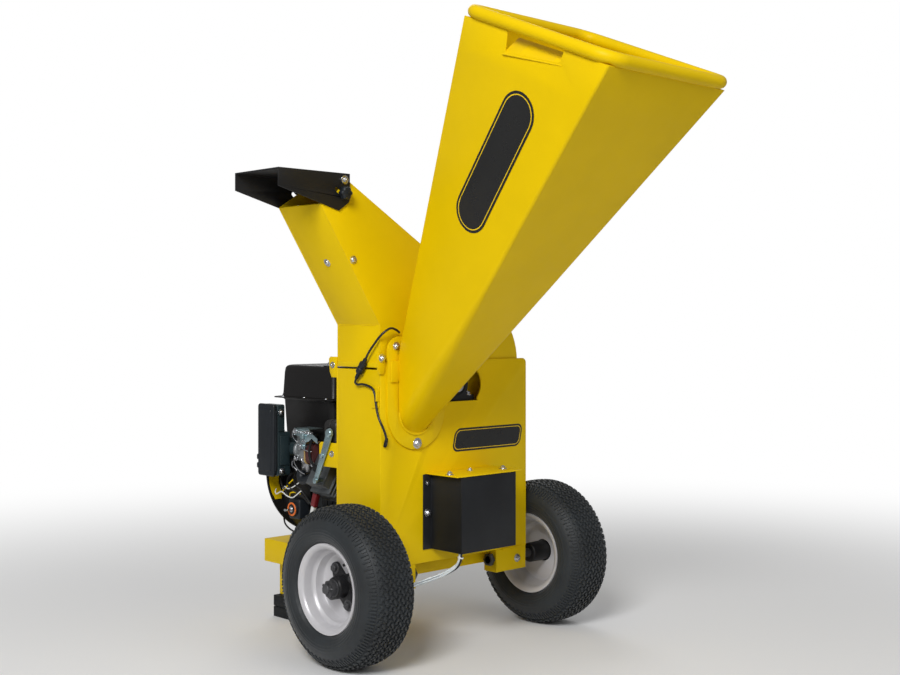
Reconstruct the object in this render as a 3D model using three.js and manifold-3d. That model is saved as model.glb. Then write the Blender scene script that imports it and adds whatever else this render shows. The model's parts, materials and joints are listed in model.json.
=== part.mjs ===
// Wood chipper with a disc rotor, a tall feed hopper, a side discharge chute and a petrol engine.
// Millimetres, +Z up. -Y is the feed side, +Y the engine side, -X the discharge side.
// The design frame has its origin on the ground under the wheel axis; the last lines move the
// finished machine so that the origin is at the middle of the footprint of its bounding box.
import * as THREE from "three";
import { mergeVertices } from "three/addons/utils/BufferGeometryUtils.js";
import Module from "manifold-3d";

const wasm = await Module();
wasm.setup();

// ---------- driving dimensions ----------
const fit = 0.3; // clearance between pieces that touch
const running = 0.6; // radial clearance of a turning shaft in its bore

const wheelDiameter = 406; // 16 x 6.50-8 tyre
const tyreWidth = 162;
const tyreGap = 12.5; // from the housing side to the tyre
const rimFlangeRadius = 113;
const rimHalfWidth = 66;
const axleRadius = 12.5;

const housingWidth = 539;
const housingFront = -22;
const housingDepth = 179;
const housingBottom = 232;
const housingTop = 760; // top edge of the front panel
const seamHeight = 740; // top edge of the side plates
const seamGap = 5;
const sheet = 5;
const bulkheadDepth = 50; // from the front panel to the inner wall behind it
const bulkheadDrop = 263; // from the rotor shaft to the bottom of the inner wall

const rotorX = 12;
const rotorZ = 693;
const rotorRadius = 212;
const rotorThickness = 16;
const shaftRadius = 20;
const shaftHole = 4; // radial room round the shaft where it passes through sheet metal
const bearingHeight = 46; // from the bearing foot to the shaft
const cutterGap = 27; // from the inner wall to the disc
const knifeLength = 129;
const knifeWidth = 52;
const knifeThickness = 8;
const scrollX = 69; // centre of the round shoulder of the upper casing
const scrollZ = 750;
const scrollRadius = 170;
const troughRadius = 216;

const chuteInset = 3; // discharge side of the upper casing inside the housing side
const chuteKneeZ = 854;
const chuteReach = 190.1; // from the housing side of the casing to the lower lip of its mouth
const chuteLipZ = 1150.7;
const mouthLipSpan = 90.6; // from the lower to the upper lip
const mouthLipZ = 1211;
const casingSheet = 4;

const throatOffset = 162; // from the rotor shaft to the middle of the throat
const throatBottom = 571;
const throatTop = 763;
const throatRadius = 60;
const throatTopHalf = 62;
const mouthWidth = 413;
const mouthLength = 454;
const mouthTilt = THREE.MathUtils.degToRad(22.6);
const hopperReach = 395.4; // from the front panel to the back edge of the mouth
const hopperRise = 794.2; // from the top of the throat to the back edge of the mouth
const bendFraction = 0.46; // where the flat underside starts to curl into the round throat
const backBendFraction = 0.4735; // the same place on the back
const hopperSheet = 3;
const rimBarRadius = 15;
const rimBarCorner = 46;
const notchStart = 150; // hand notch, measured from the back corner of the mouth
const notchEnd = 328;
const notchDepthBack = 46;
const notchDepthFront = 27;
const flangeRadius = 100;
const flangeTop = 825;
const flangeCorner = 40;

const hoodSheet = 4;
const hoodPivotInset = 18.6; // from the upper lip of the chute, in X
const hoodPivotRise = 3; // and in Z
const hoodTop = 16; // the hood's outline, measured from its pivot
const hoodRight = 16.6;
const hoodLeft = -200.4;
const hoodHeel = -77;
const hoodTipHeight = 44;
const knobOffset = [-6.4, -34]; // from the hood pivot, in X and Z
const knobGripRadius = 16;
const knobStudRadius = 4;
const knobSlotHalfWidth = 5.5;
const hoodDown = THREE.MathUtils.degToRad(30);
const hoodUp = THREE.MathUtils.degToRad(12);

const crankX = -40;
const crankHeight = 135; // above the tray
const crankRadius = 12.5;
const rotorPulleyRadius = 85;
const clutchRadius = 60;
const beltOffset = 15; // from the back plate to the pulleys
const beltWidth = 38;
const beltThickness = 8;
const guardRoom = 11; // from the pulleys to the outside of the belt cover
const guardSheet = 2;
const guardRotorRadius = 108;
const guardCrankRadius = 130;

const trayHalfWidth = 200;
const trayOverhang = 180; // behind the crankcase
const trayWall = 4;
const trayTop = 231;
const trayBottom = 166;
const legSize = 40;
const legX = 130;
const footHeight = 62;
const footWidth = 76;
const footLength = 84;

const blockGap = 6.7; // from the belt cover to the crankcase
const blockDepth = 172;
const blockTop = 98; // above the crankshaft
const fanRadius = 130;
const fanDepth = 130;
const fanSheet = 3;
const apronRadius = 190; // rear apron of the fan cover, lower quarter on the discharge side
const apronRise = 67; // its centre above the crankshaft
const apronTop = 100;
const recoilRadius = 98;
const recoilDepth = 26;
const ropeEye = 104; // where the starter rope leaves the recoil housing
const ropeHeight = 58;
const cylinderTilt = THREE.MathUtils.degToRad(30);
const tankLeft = -146; // tank, measured from the crankshaft and the front of the crankcase
const tankRight = 166;
const tankFront = 54;
const tankRear = 332;
const tankBottom = 151;
const tankSeam = 278;
const tankTop = 372;
const tankSheet = 2;
const fillerPlace = [-10, 122];
const tankRim = 18; // how far the seam flange stands out
const neckRadius = 24;
const neckHeight = 7;

const batteryLeft = -97;
const batteryWidth = 201;
const batteryDepth = 118;
const batteryBottom = 266;
const batteryTop = 463;
const batterySheet = 2.5;
const lidThickness = 3;
const bracketWidth = 118;
const bracketInset = 1.5; // behind the housing side
const bracketDrop = 63; // below the housing
const bracketLength = 48;
const cableExit = [-86, -125];
const leadRadius = 6; // battery cable
const switchLeadRadius = 3;

// ---------- values worked out from them ----------
const wheelRadius = wheelDiameter / 2;
const halfWidth = housingWidth / 2;
const trackWidth = housingWidth + 2 * tyreGap + tyreWidth; // between tyre centres
const housingRear = housingFront + housingDepth;
const panelBack = housingFront + sheet;
const plateFront = housingRear - sheet;
const bulkheadFront = housingFront + bulkheadDepth;
const bulkheadBack = bulkheadFront + sheet;
const casingBottom = seamHeight + seamGap;
const casingLeft = -halfWidth + chuteInset;
const casingRight = scrollX + scrollRadius;
const chuteLipX = casingLeft - chuteReach;
const mouthLipX = chuteLipX + mouthLipSpan;
const hoodPivotX = mouthLipX - hoodPivotInset;
const hoodPivotZ = mouthLipZ + hoodPivotRise;
const throatX = rotorX - throatOffset;
const mouthBackY = housingFront - hopperReach;
const mouthBackZ = throatTop + hopperRise;
const discFront = bulkheadBack + cutterGap;
const discBack = discFront + rotorThickness;
const beltFront = housingRear + beltOffset;
const guardFront = housingRear + fit;
const guardRear = guardFront + beltOffset + beltWidth + guardRoom;
const blockFront = guardRear + blockGap;
const blockRear = blockFront + blockDepth;
const crankZ = trayTop + crankHeight;
const trayEnd = blockRear + trayOverhang;
const bracketOuter = halfWidth - bracketInset;
const bracketInner = bracketOuter - bracketWidth;
const bracketBottom = housingBottom - bracketDrop;
const bracketRear = housingFront + bracketLength;

// ---------- finishes ----------
function paint(color, roughness, metalness) {
  return new THREE.MeshStandardMaterial({ color, roughness, metalness });
}
const yellow = paint(0xe3c208, 0.42, 0.1);
const black = paint(0x1b1b1d, 0.45, 0.2);
const steel = paint(0x9a9a9c, 0.35, 0.9);
const castAlloy = paint(0x8d8f92, 0.55, 0.7);
const rimSilver = paint(0x9a9498, 0.45, 0.6);
const tyreRubber = paint(0x20252a, 0.85, 0);
const plastic = paint(0x18191b, 0.5, 0);
const rubber = paint(0x151515, 0.8, 0);
const cableSheath = paint(0xd5dbe0, 0.4, 0);

// ---------- solids ----------
function toSolid(geometry) {
  const bare = geometry.clone();
  bare.deleteAttribute("normal");
  bare.deleteAttribute("uv");
  const merged = mergeVertices(bare, 1e-3);
  const corners = merged.index.array;
  const kept = [];
  for (let i = 0; i < corners.length; i += 3) {
    const [a, b, c] = [corners[i], corners[i + 1], corners[i + 2]];
    if (a !== b && b !== c && a !== c) kept.push(a, b, c);
  }
  return new wasm.Manifold(new wasm.Mesh({
    numProp: 3,
    vertProperties: new Float32Array(merged.attributes.position.array),
    triVerts: new Uint32Array(kept),
  }));
}

function toGeometry(solid) {
  const { vertProperties, triVerts } = solid.getMesh();
  const geometry = new THREE.BufferGeometry();
  geometry.setAttribute("position", new THREE.BufferAttribute(vertProperties, 3));
  geometry.setIndex(new THREE.BufferAttribute(triVerts, 1));
  geometry.computeVertexNormals();
  return geometry;
}

function join(...solids) {
  return solids.reduce((sum, solid) => sum.add(solid));
}

function cut(solid, ...tools) {
  return tools.reduce((left, tool) => left.subtract(tool), solid);
}

function block(x0, x1, y0, y1, z0, z1) {
  const geometry = new THREE.BoxGeometry(x1 - x0, y1 - y0, z1 - z0);
  geometry.translate((x0 + x1) / 2, (y0 + y1) / 2, (z0 + z1) / 2);
  return toSolid(geometry);
}

// How an outline drawn in its own plane stands in the machine, by the axis it is extruded along.
const stand = {
  x: new THREE.Matrix4().makeBasis(
    new THREE.Vector3(0, 1, 0), new THREE.Vector3(0, 0, 1), new THREE.Vector3(1, 0, 0)),
  y: new THREE.Matrix4().makeBasis(
    new THREE.Vector3(1, 0, 0), new THREE.Vector3(0, 0, 1), new THREE.Vector3(0, -1, 0)),
  z: new THREE.Matrix4(),
};

// Outline in (Y, Z) for axis x, in (X, Z) for axis y and in (X, Y) for axis z.
function prism(outline, axis, from, to, curveSegments = 8) {
  const shape = outline instanceof THREE.Shape ? outline : polygon(outline);
  const depth = to - from;
  const geometry = new THREE.ExtrudeGeometry(shape, { depth, bevelEnabled: false, curveSegments });
  geometry.applyMatrix4(stand[axis]);
  const start = { x: [from, 0, 0], y: [0, to, 0], z: [0, 0, from] }[axis];
  geometry.translate(...start);
  return toSolid(geometry);
}

function polygon(points) {
  return new THREE.Shape(points.map(([a, b]) => new THREE.Vector2(a, b)));
}

// Round bar along an axis; centre holds the two coordinates across it, in X, Y, Z order.
function rod(axis, centre, radius, from, to, sides = 24) {
  const geometry = new THREE.CylinderGeometry(radius, radius, to - from, sides);
  const middle = (from + to) / 2;
  if (axis === "x") geometry.rotateZ(Math.PI / 2);
  if (axis === "z") geometry.rotateX(Math.PI / 2);
  if (axis === "x") geometry.translate(middle, centre[0], centre[1]);
  if (axis === "y") geometry.translate(centre[0], middle, centre[1]);
  if (axis === "z") geometry.translate(centre[0], centre[1], middle);
  return toSolid(geometry);
}

// Profile of [radius, along] points turned about the X axis through the origin.
function turned(profile, segments) {
  const points = profile.map(([radius, along]) => new THREE.Vector2(radius, along));
  const closed = profile[0][0] > 0;
  if (closed) points.push(points[0].clone());
  const geometry = new THREE.LatheGeometry(points, segments);
  geometry.rotateZ(-Math.PI / 2);
  const solid = toSolid(geometry);
  return solid.volume() < 0 ? toSolid(flipped(geometry)) : solid;
}

function flipped(geometry) {
  const turnedOver = geometry.clone();
  const corners = turnedOver.index.array;
  for (let i = 0; i < corners.length; i += 3) {
    [corners[i], corners[i + 1]] = [corners[i + 1], corners[i]];
  }
  return turnedOver;
}

function hexagon(across, centreA, centreB) {
  const points = [];
  for (let i = 0; i < 6; i += 1) {
    const angle = (i * Math.PI) / 3;
    const corner = across / Math.sqrt(3);
    points.push([centreA + corner * Math.cos(angle), centreB + corner * Math.sin(angle)]);
  }
  return points;
}

// Outline round two circles with straight tangents, as a belt lies on two pulleys.
function beltOutline(ax, az, ar, bx, bz, br) {
  const along = Math.atan2(bz - az, bx - ax);
  const lean = Math.acos((ar - br) / Math.hypot(bx - ax, bz - az));
  const shape = new THREE.Shape();
  shape.absarc(ax, az, ar, along + lean, along - lean + 2 * Math.PI, false);
  shape.absarc(bx, bz, br, along - lean, along + lean, false);
  shape.closePath();
  return shape;
}

// Strip of sheet that follows a path, with the sheet on the right-hand side of the path.
function strip(path, thickness) {
  const inner = path.map((point, i) => {
    const before = path[Math.max(i - 1, 0)];
    const after = path[Math.min(i + 1, path.length - 1)];
    const a = i > 0 ? unit(before, point) : unit(point, after);
    const b = i < path.length - 1 ? unit(point, after) : unit(before, point);
    const normal = [a[1] + b[1], -(a[0] + b[0])];
    const scale = (2 * thickness) / (normal[0] ** 2 + normal[1] ** 2);
    return [point[0] + normal[0] * scale, point[1] + normal[1] * scale];
  });
  return [...path, ...inner.reverse()];
}

function unit(from, to) {
  const length = Math.hypot(to[0] - from[0], to[1] - from[1]);
  return [(to[0] - from[0]) / length, (to[1] - from[1]) / length];
}

function tube(points, radius, sides, steps) {
  const section = polygon(Array.from({ length: sides }, (_, i) => {
    const angle = (2 * Math.PI * i) / sides;
    return [radius * Math.cos(angle), radius * Math.sin(angle)];
  }));
  const extrudePath = new THREE.CatmullRomCurve3(points.map((point) => new THREE.Vector3(...point)));
  return toSolid(new THREE.ExtrudeGeometry(section, { steps, extrudePath, bevelEnabled: false }));
}

// ---------- scene graph ----------
const machine = new THREE.Group();

function addPart(name, solid, material, parent = machine) {
  const mesh = new THREE.Mesh(toGeometry(solid), material);
  mesh.name = name;
  parent.add(mesh);
}

function assembly(x, y, z) {
  const group = new THREE.Group();
  group.position.set(x, y, z);
  machine.add(group);
  return group;
}

// ---------- hopper ----------
const mouthFrontY = mouthBackY - mouthLength * Math.cos(mouthTilt);
const mouthFrontZ = mouthBackZ - mouthLength * Math.sin(mouthTilt);

function lerp(a, b, t) {
  return a + (b - a) * t;
}

// Half width of the flat hopper sides, which flare evenly towards the plane of the mouth.
function depthBelowMouth(y, z) {
  return (y - mouthBackY) * Math.sin(mouthTilt) + (mouthBackZ - z) * Math.cos(mouthTilt);
}
const flare = (mouthWidth / 2 - throatTopHalf) / depthBelowMouth(housingFront, throatTop);

function sideHalf(y, z) {
  return mouthWidth / 2 - flare * depthBelowMouth(y, z);
}

// Cross-sections from the inner wall to the mouth: under point, back point, half widths, corner.
function hopperStations() {
  const bend = {
    under: [
      lerp(housingFront, mouthFrontY, bendFraction),
      lerp(throatBottom, mouthFrontZ, bendFraction),
    ],
    back: [
      lerp(housingFront, mouthBackY, backBendFraction),
      lerp(throatTop, mouthBackZ, backBendFraction),
    ],
  };
  return [
    { under: [bulkheadFront - fit, throatBottom], back: [bulkheadFront - fit, throatTop],
      low: throatRadius, high: throatTopHalf, corner: throatRadius },
    { under: [housingFront, throatBottom], back: [housingFront, throatTop],
      low: throatRadius, high: throatTopHalf, corner: throatRadius },
    { ...bend, low: sideHalf(...bend.under), high: sideHalf(...bend.back), corner: 10 },
    { under: [mouthFrontY, mouthFrontZ], back: [mouthBackY, mouthBackZ],
      low: mouthWidth / 2, high: mouthWidth / 2, corner: 6 },
  ];
}

function stationLoop(station, inset, along) {
  const { under, back, low, high, corner } = station;
  const height = Math.hypot(back[0] - under[0], back[1] - under[1]);
  const up = [(back[0] - under[0]) / height, (back[1] - under[1]) / height];
  const radius = Math.max(corner - inset, 1);
  const half = low - inset;
  const flat = [[-(high - inset), height - inset]];
  const turns = 6;
  for (const side of [-1, 1]) {
    for (let i = 0; i <= turns; i += 1) {
      const angle = (Math.PI / 2) * (i / turns);
      const swing = side < 0 ? angle : Math.PI / 2 - angle;
      flat.push([
        side * (half - radius + radius * Math.cos(swing)),
        inset + radius - radius * Math.sin(swing),
      ]);
    }
  }
  flat.push([high - inset, height - inset]);
  return flat.map(([x, h]) => [
    throatX + x,
    under[0] + up[0] * h + along[0],
    under[1] + up[1] * h + along[1],
  ]);
}

function hopperSolid(inset, overrun) {
  const stations = hopperStations();
  const outward = [-Math.sin(mouthTilt) * overrun, Math.cos(mouthTilt) * overrun];
  const loops = stations.map((station, i) => {
    const along = i === 0 ? [overrun, 0] : i === stations.length - 1 ? outward : [0, 0];
    return stationLoop(station, inset, along);
  });
  const count = loops[0].length;
  const positions = loops.flat(2);
  const index = [];
  for (let ring = 0; ring + 1 < loops.length; ring += 1) {
    for (let i = 0; i < count; i += 1) {
      const next = (i + 1) % count;
      const [a, b] = [ring * count + i, ring * count + next];
      const [c, d] = [a + count, b + count];
      index.push(a, c, b, b, c, d);
    }
  }
  const last = (loops.length - 1) * count;
  for (let i = 1; i + 1 < count; i += 1) {
    index.push(0, i, i + 1);
    index.push(last, last + i + 1, last + i);
  }
  const geometry = new THREE.BufferGeometry();
  geometry.setAttribute("position", new THREE.Float32BufferAttribute(positions, 3));
  geometry.setIndex(index);
  const solid = toSolid(geometry);
  return solid.volume() < 0 ? toSolid(flipped(geometry)) : solid;
}

function mouthPoint(along, below) {
  return [
    mouthBackY - along * Math.cos(mouthTilt) + below * Math.sin(mouthTilt),
    mouthBackZ - along * Math.sin(mouthTilt) - below * Math.cos(mouthTilt),
  ];
}

function buildHopper() {
  const notch = prism([
    mouthPoint(notchStart - 4, -20), mouthPoint(notchStart, notchDepthBack),
    mouthPoint(notchEnd - 8, notchDepthFront), mouthPoint(notchEnd, -20),
  ], "x", throatX - mouthWidth, throatX + mouthWidth);
  const shell = cut(hopperSolid(0, 0), hopperSolid(hopperSheet, 2), notch);
  addPart("hopper_shell", shell, yellow);

  const plate = new THREE.Shape();
  const armHeight = throatBottom + throatRadius;
  const cornerX = flangeRadius - flangeCorner;
  const cornerZ = flangeTop - flangeCorner;
  plate.absarc(throatX, armHeight, flangeRadius, Math.PI, 2 * Math.PI, false);
  plate.absarc(throatX + cornerX, cornerZ, flangeCorner, 0, Math.PI / 2, false);
  plate.absarc(throatX - cornerX, cornerZ, flangeCorner, Math.PI / 2, Math.PI, false);
  plate.closePath();
  const flange = prism(plate, "y", housingFront - sheet, housingFront - fit);
  addPart("hopper_flange", cut(flange, hopperSolid(-fit, 0)), yellow);
  buildRimBar();
}

// Closed ring of round bar that lies on the edge of the mouth.
function buildRimBar() {
  const halfX = mouthWidth / 2;
  const halfL = mouthLength / 2;
  const sides = 10;
  const turns = 5;
  const centre = mouthPoint(mouthLength / 2, -(rimBarRadius + fit));
  const across = new THREE.Vector3(1, 0, 0);
  const along = new THREE.Vector3(0, -Math.cos(mouthTilt), -Math.sin(mouthTilt));
  const outward = new THREE.Vector3(0, -Math.sin(mouthTilt), Math.cos(mouthTilt));
  const positions = [];
  const corners = [[1, 1, 0], [-1, 1, 1], [-1, -1, 2], [1, -1, 3]];
  for (const [sx, sl, quarter] of corners) {
    for (let i = 0; i <= turns; i += 1) {
      const angle = (quarter + i / turns) * (Math.PI / 2);
      const radial = across.clone()
        .multiplyScalar(Math.cos(angle))
        .addScaledVector(along, Math.sin(angle));
      const point = new THREE.Vector3(throatX, centre[0], centre[1])
        .addScaledVector(across, sx * (halfX - rimBarCorner))
        .addScaledVector(along, sl * (halfL - rimBarCorner))
        .addScaledVector(radial, rimBarCorner);
      for (let j = 0; j < sides; j += 1) {
        const roll = (2 * Math.PI * (j + 0.5)) / sides;
        const spot = point.clone()
          .addScaledVector(radial, rimBarRadius * Math.cos(roll))
          .addScaledVector(outward, rimBarRadius * Math.sin(roll));
        positions.push(spot.x, spot.y, spot.z);
      }
    }
  }
  const rings = positions.length / 3 / sides;
  const index = [];
  for (let ring = 0; ring < rings; ring += 1) {
    for (let j = 0; j < sides; j += 1) {
      const next = (j + 1) % sides;
      const after = (ring + 1) % rings;
      const [a, b] = [ring * sides + j, ring * sides + next];
      const [c, d] = [after * sides + j, after * sides + next];
      index.push(a, b, c, b, d, c);
    }
  }
  const geometry = new THREE.BufferGeometry();
  geometry.setAttribute("position", new THREE.Float32BufferAttribute(positions, 3));
  geometry.setIndex(index);
  const solid = toSolid(geometry);
  addPart("hopper_rim_bar", solid.volume() < 0 ? toSolid(flipped(geometry)) : solid, yellow);
}

// ---------- lower housing and what is inside ----------
function buildHousing() {
  const corner = 14;
  const panel = new THREE.Shape();
  panel.moveTo(-halfWidth, housingBottom);
  panel.lineTo(halfWidth, housingBottom);
  panel.absarc(halfWidth - corner, housingTop - corner, corner, 0, Math.PI / 2, false);
  panel.lineTo(-halfWidth, housingTop);
  panel.closePath();
  const slot = bearingSlot();
  const shell = join(
    prism(panel, "y", housingFront, panelBack),
    block(-halfWidth, -halfWidth + sheet, panelBack - 1, plateFront - fit, housingBottom, seamHeight),
    block(halfWidth - sheet, halfWidth, panelBack - 1, plateFront - fit, housingBottom, seamHeight),
  );
  addPart("lower_housing", cut(shell, slot, hopperSolid(-fit, 0)), yellow);

  const back = cut(
    block(-halfWidth, halfWidth, plateFront, housingRear, housingBottom, seamHeight),
    rod("y", [rotorX, rotorZ], shaftRadius + shaftHole, plateFront - 1, housingRear + 1),
  );
  addPart("housing_back_plate", back, yellow);

  const inner = halfWidth - sheet - fit;
  const wallBottom = rotorZ - bulkheadDrop;
  const wall = block(-inner, inner, bulkheadFront, bulkheadBack, wallBottom, seamHeight);
  const shelfHalf = 75;
  const shelfTop = rotorZ - bearingHeight - fit;
  const shelf = block(
    rotorX - shelfHalf, rotorX + shelfHalf,
    panelBack + fit, bulkheadFront + 1,
    shelfTop - sheet, shelfTop,
  );
  const port = hopperSolid(-fit, bulkheadDepth);
  const bulkhead = cut(
    join(wall, shelf),
    port,
    rod("y", [rotorX, rotorZ], shaftRadius + shaftHole, bulkheadFront - 1, bulkheadBack + 1),
  );
  addPart("rotor_bulkhead", bulkhead, yellow);

  const trough = [];
  const troughSteps = 20;
  const lift = Math.asin((seamHeight - fit - rotorZ) / troughRadius);
  for (let i = 0; i <= troughSteps; i += 1) {
    const angle = Math.PI - lift + (i / troughSteps) * (Math.PI + 2 * lift);
    trough.push([rotorX + troughRadius * Math.cos(angle), rotorZ + troughRadius * Math.sin(angle)]);
  }
  const belly = prism(strip(trough, casingSheet), "y", bulkheadBack + fit, plateFront - fit);
  addPart("rotor_trough", belly, yellow);
}

// Cut in the front panel that shows the front bearing: round ends and a flat floor.
function bearingSlot() {
  const centreX = rotorX + 8;
  const [half, radius, floor, chamfer] = [71, 50, 44, 14];
  const shape = new THREE.Shape();
  shape.moveTo(centreX - half, rotorZ - floor + chamfer);
  shape.lineTo(centreX - half + chamfer, rotorZ - floor);
  shape.lineTo(centreX + half - chamfer, rotorZ - floor);
  shape.absarc(centreX + half - radius, rotorZ, radius, -Math.PI / 4, Math.PI / 2, false);
  shape.absarc(centreX - half + radius, rotorZ, radius, Math.PI / 2, Math.PI, false);
  shape.closePath();
  return prism(shape, "y", housingFront - 1, panelBack + 1);
}

function buildBearings() {
  const [near, far] = [panelBack + 5, bulkheadFront - 4];
  const footLevel = rotorZ - bearingHeight;
  const [footHalf, footThickness, neckHalf] = [62, 16, 34];
  const front = cut(
    join(
      block(rotorX - footHalf, rotorX + footHalf, near, far, footLevel, footLevel + footThickness),
      block(rotorX - neckHalf, rotorX + neckHalf, near, far, footLevel, rotorZ),
      rod("y", [rotorX, rotorZ], shaftRadius + 19, near, far),
    ),
    rod("y", [rotorX, rotorZ], shaftRadius + running, near - 1, far + 1),
  );
  addPart("front_bearing", front, black);
  const plateHalf = 46;
  const rear = cut(
    join(
      block(
        rotorX - plateHalf, rotorX + plateHalf,
        guardFront, guardFront + 9,
        rotorZ - plateHalf, rotorZ + plateHalf,
      ),
      rod("y", [rotorX, rotorZ], shaftRadius + 16, guardFront, beltFront - fit - 2),
    ),
    rod("y", [rotorX, rotorZ], shaftRadius + running, housingRear - 1, beltFront + 1),
  );
  addPart("rear_bearing", rear, black);
  const anvil = block(
    throatX + 10, throatX + 70,
    bulkheadBack + fit, bulkheadBack + 9,
    throatBottom - 22, throatBottom,
  );
  addPart("anvil_knife", anvil, steel);
}

// ---------- upper casing and chute ----------
// The straight top of the casing runs from the chute mouth to where it touches the round shoulder.
function shoulderAngle() {
  const reach = Math.hypot(mouthLipX - scrollX, mouthLipZ - scrollZ);
  const bearing = Math.atan2(mouthLipZ - scrollZ, mouthLipX - scrollX);
  return bearing - Math.acos(scrollRadius / reach);
}

function shoulderPath() {
  const start = shoulderAngle();
  const steps = 9;
  const path = [[mouthLipX, mouthLipZ]];
  for (let i = 0; i <= steps; i += 1) {
    const angle = start * (1 - i / steps);
    path.push([scrollX + scrollRadius * Math.cos(angle), scrollZ + scrollRadius * Math.sin(angle)]);
  }
  path.push([casingRight, casingBottom]);
  return path;
}

function buildCasing() {
  const chutePath = [[casingLeft, casingBottom], [casingLeft, chuteKneeZ], [chuteLipX, chuteLipZ]];
  const outline = [...chutePath, ...shoulderPath()];
  const sidePlate = (from, to) => prism(outline, "y", from, to);
  const frontPlate = cut(sidePlate(panelBack + fit, panelBack + sheet), hopperSolid(-fit, 0));
  addPart("casing_front_plate", frontPlate, yellow);
  addPart("casing_back_plate", sidePlate(plateFront, housingRear), yellow);
  const [wrapFront, wrapRear] = [panelBack + sheet + fit, plateFront - fit];
  addPart("casing_wrap", prism(strip(shoulderPath(), casingSheet), "y", wrapFront, wrapRear), yellow);
  const wall = prism(strip(chutePath, casingSheet), "y", wrapFront, wrapRear);
  const lip = block(
    casingLeft - 3, casingLeft + 1,
    wrapFront, wrapRear,
    casingBottom, casingBottom + 14,
  );
  addPart("chute_wall", join(wall, lip), yellow);
}

// ---------- deflector hood ----------
function buildHood() {
  const hood = assembly(hoodPivotX, 0, hoodPivotZ);
  const heel = 12;
  const shape = new THREE.Shape();
  shape.moveTo(hoodLeft, hoodTop);
  shape.lineTo(hoodLeft, hoodTop - hoodTipHeight);
  shape.lineTo(hoodRight - 34, hoodHeel);
  shape.absarc(hoodRight - heel, hoodHeel + 18 + heel, heel, -Math.PI / 3, 0, false);
  shape.lineTo(hoodRight, hoodTop);
  shape.closePath();
  const outerFront = panelBack - hoodSheet;
  const outerRear = housingRear + fit + hoodSheet;
  const solid = prism(shape, "y", outerFront, outerRear);
  const inside = block(
    hoodLeft - 1, hoodRight + 1,
    panelBack, housingRear + fit,
    hoodHeel - 60, hoodTop - hoodSheet,
  );
  addPart("deflector_hood", cut(solid, inside, knobSlot(outerFront, outerRear)), black, hood);

  const knob = assembly(hoodPivotX + knobOffset[0], 0, hoodPivotZ + knobOffset[1]);
  const hoodFace = outerFront - fit;
  const handle = join(
    rod("y", [0, 0], knobGripRadius, hoodFace - 18, hoodFace, 16),
    rod("y", [0, 0], knobStudRadius, hoodFace - 24, panelBack - fit, 12),
  );
  addPart("deflector_knob", handle, plastic, knob);
}

// Arc slot for the clamping stud, long enough for the whole swing of the hood.
function knobSlot(from, to) {
  const [dx, dz] = knobOffset;
  const radius = Math.hypot(dx, dz);
  const middle = Math.atan2(dz, dx);
  const spare = THREE.MathUtils.degToRad(4);
  const [start, end] = [middle - hoodDown - spare, middle + hoodUp + spare];
  const shape = new THREE.Shape();
  const half = knobSlotHalfWidth;
  const roundEnd = (angle, from) => shape.absarc(
    radius * Math.cos(angle), radius * Math.sin(angle), half, from, from + Math.PI, false);
  shape.absarc(0, 0, radius + half, start, end, false);
  roundEnd(end, end);
  shape.absarc(0, 0, radius - half, end, start, true);
  roundEnd(start, start + Math.PI);
  return prism(shape, "y", from - 1, to + 1, 6);
}

// ---------- rotor ----------
function buildRotor() {
  const rotor = assembly(rotorX, 0, rotorZ);
  const paddles = [];
  for (let i = 0; i < 4; i += 1) {
    const paddle = block(40, rotorRadius - 4, discBack - 1, plateFront - 12, -4, 4);
    paddles.push(paddle.rotate([0, 45 + i * 90, 0]));
  }
  const bore = shaftRadius + fit;
  const hubLength = 30;
  const disc = cut(
    join(
      rod("y", [0, 0], rotorRadius, discFront, discBack, 40),
      rod("y", [0, 0], shaftRadius + 25, discBack - 1, discBack + hubLength),
      ...paddles,
    ),
    rod("y", [0, 0], bore, discFront - 1, discBack + hubLength + 10),
  );
  addPart("rotor_disc", disc, castAlloy, rotor);
  const shaft = rod("y", [0, 0], shaftRadius, panelBack + 1, beltFront + beltWidth + 3);
  addPart("rotor_shaft", shaft, steel, rotor);
  const knifeTip = rotorRadius - 8;
  const knifeHeel = knifeTip - knifeLength;
  for (const side of [1, -1]) {
    const knife = prism([
      [side * knifeHeel, 0],
      [side * knifeTip, 0],
      [side * knifeTip, side * knifeWidth],
      [side * knifeHeel, side * knifeWidth],
    ], "y", discFront - fit - knifeThickness, discFront - fit);
    addPart(side > 0 ? "chipper_knife_1" : "chipper_knife_2", knife, steel, rotor);
  }
  const pulley = cut(
    rod("y", [0, 0], rotorPulleyRadius, beltFront, beltFront + beltWidth, 32),
    rod("y", [0, 0], bore, beltFront - 1, beltFront + beltWidth + 1),
  );
  addPart("rotor_pulley", pulley, castAlloy, rotor);
}

function buildBeltDrive() {
  const crank = assembly(crankX, 0, crankZ);
  const clutch = join(
    rod("y", [0, 0], clutchRadius, beltFront, beltFront + beltWidth, 32),
    rod("y", [0, 0], crankRadius, beltFront - 4, blockFront - fit),
  );
  addPart("clutch_pulley", clutch, castAlloy, crank);

  const loop = (gap) => beltOutline(
    rotorX, rotorZ, rotorPulleyRadius + gap, crankX, crankZ, clutchRadius + gap);
  const [beltStart, beltEnd] = [beltFront + 4, beltFront + beltWidth - 4];
  const belt = cut(
    prism(loop(fit + beltThickness), "y", beltStart, beltEnd, 12),
    prism(loop(fit), "y", beltStart - 1, beltEnd + 1, 12),
  );
  addPart("drive_belt", belt, rubber);

  const cover = (inset, from, to) => prism(beltOutline(
    rotorX, rotorZ, guardRotorRadius - inset, crankX, crankZ, guardCrankRadius - inset), "y", from, to, 10);
  const guard = cut(
    cover(0, guardFront, guardRear),
    cover(guardSheet, guardFront - 1, guardRear - guardSheet),
    rod("y", [crankX, crankZ], crankRadius + 5, guardRear - 10, guardRear + 1),
  );
  addPart("belt_guard", guard, black);
}

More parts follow.
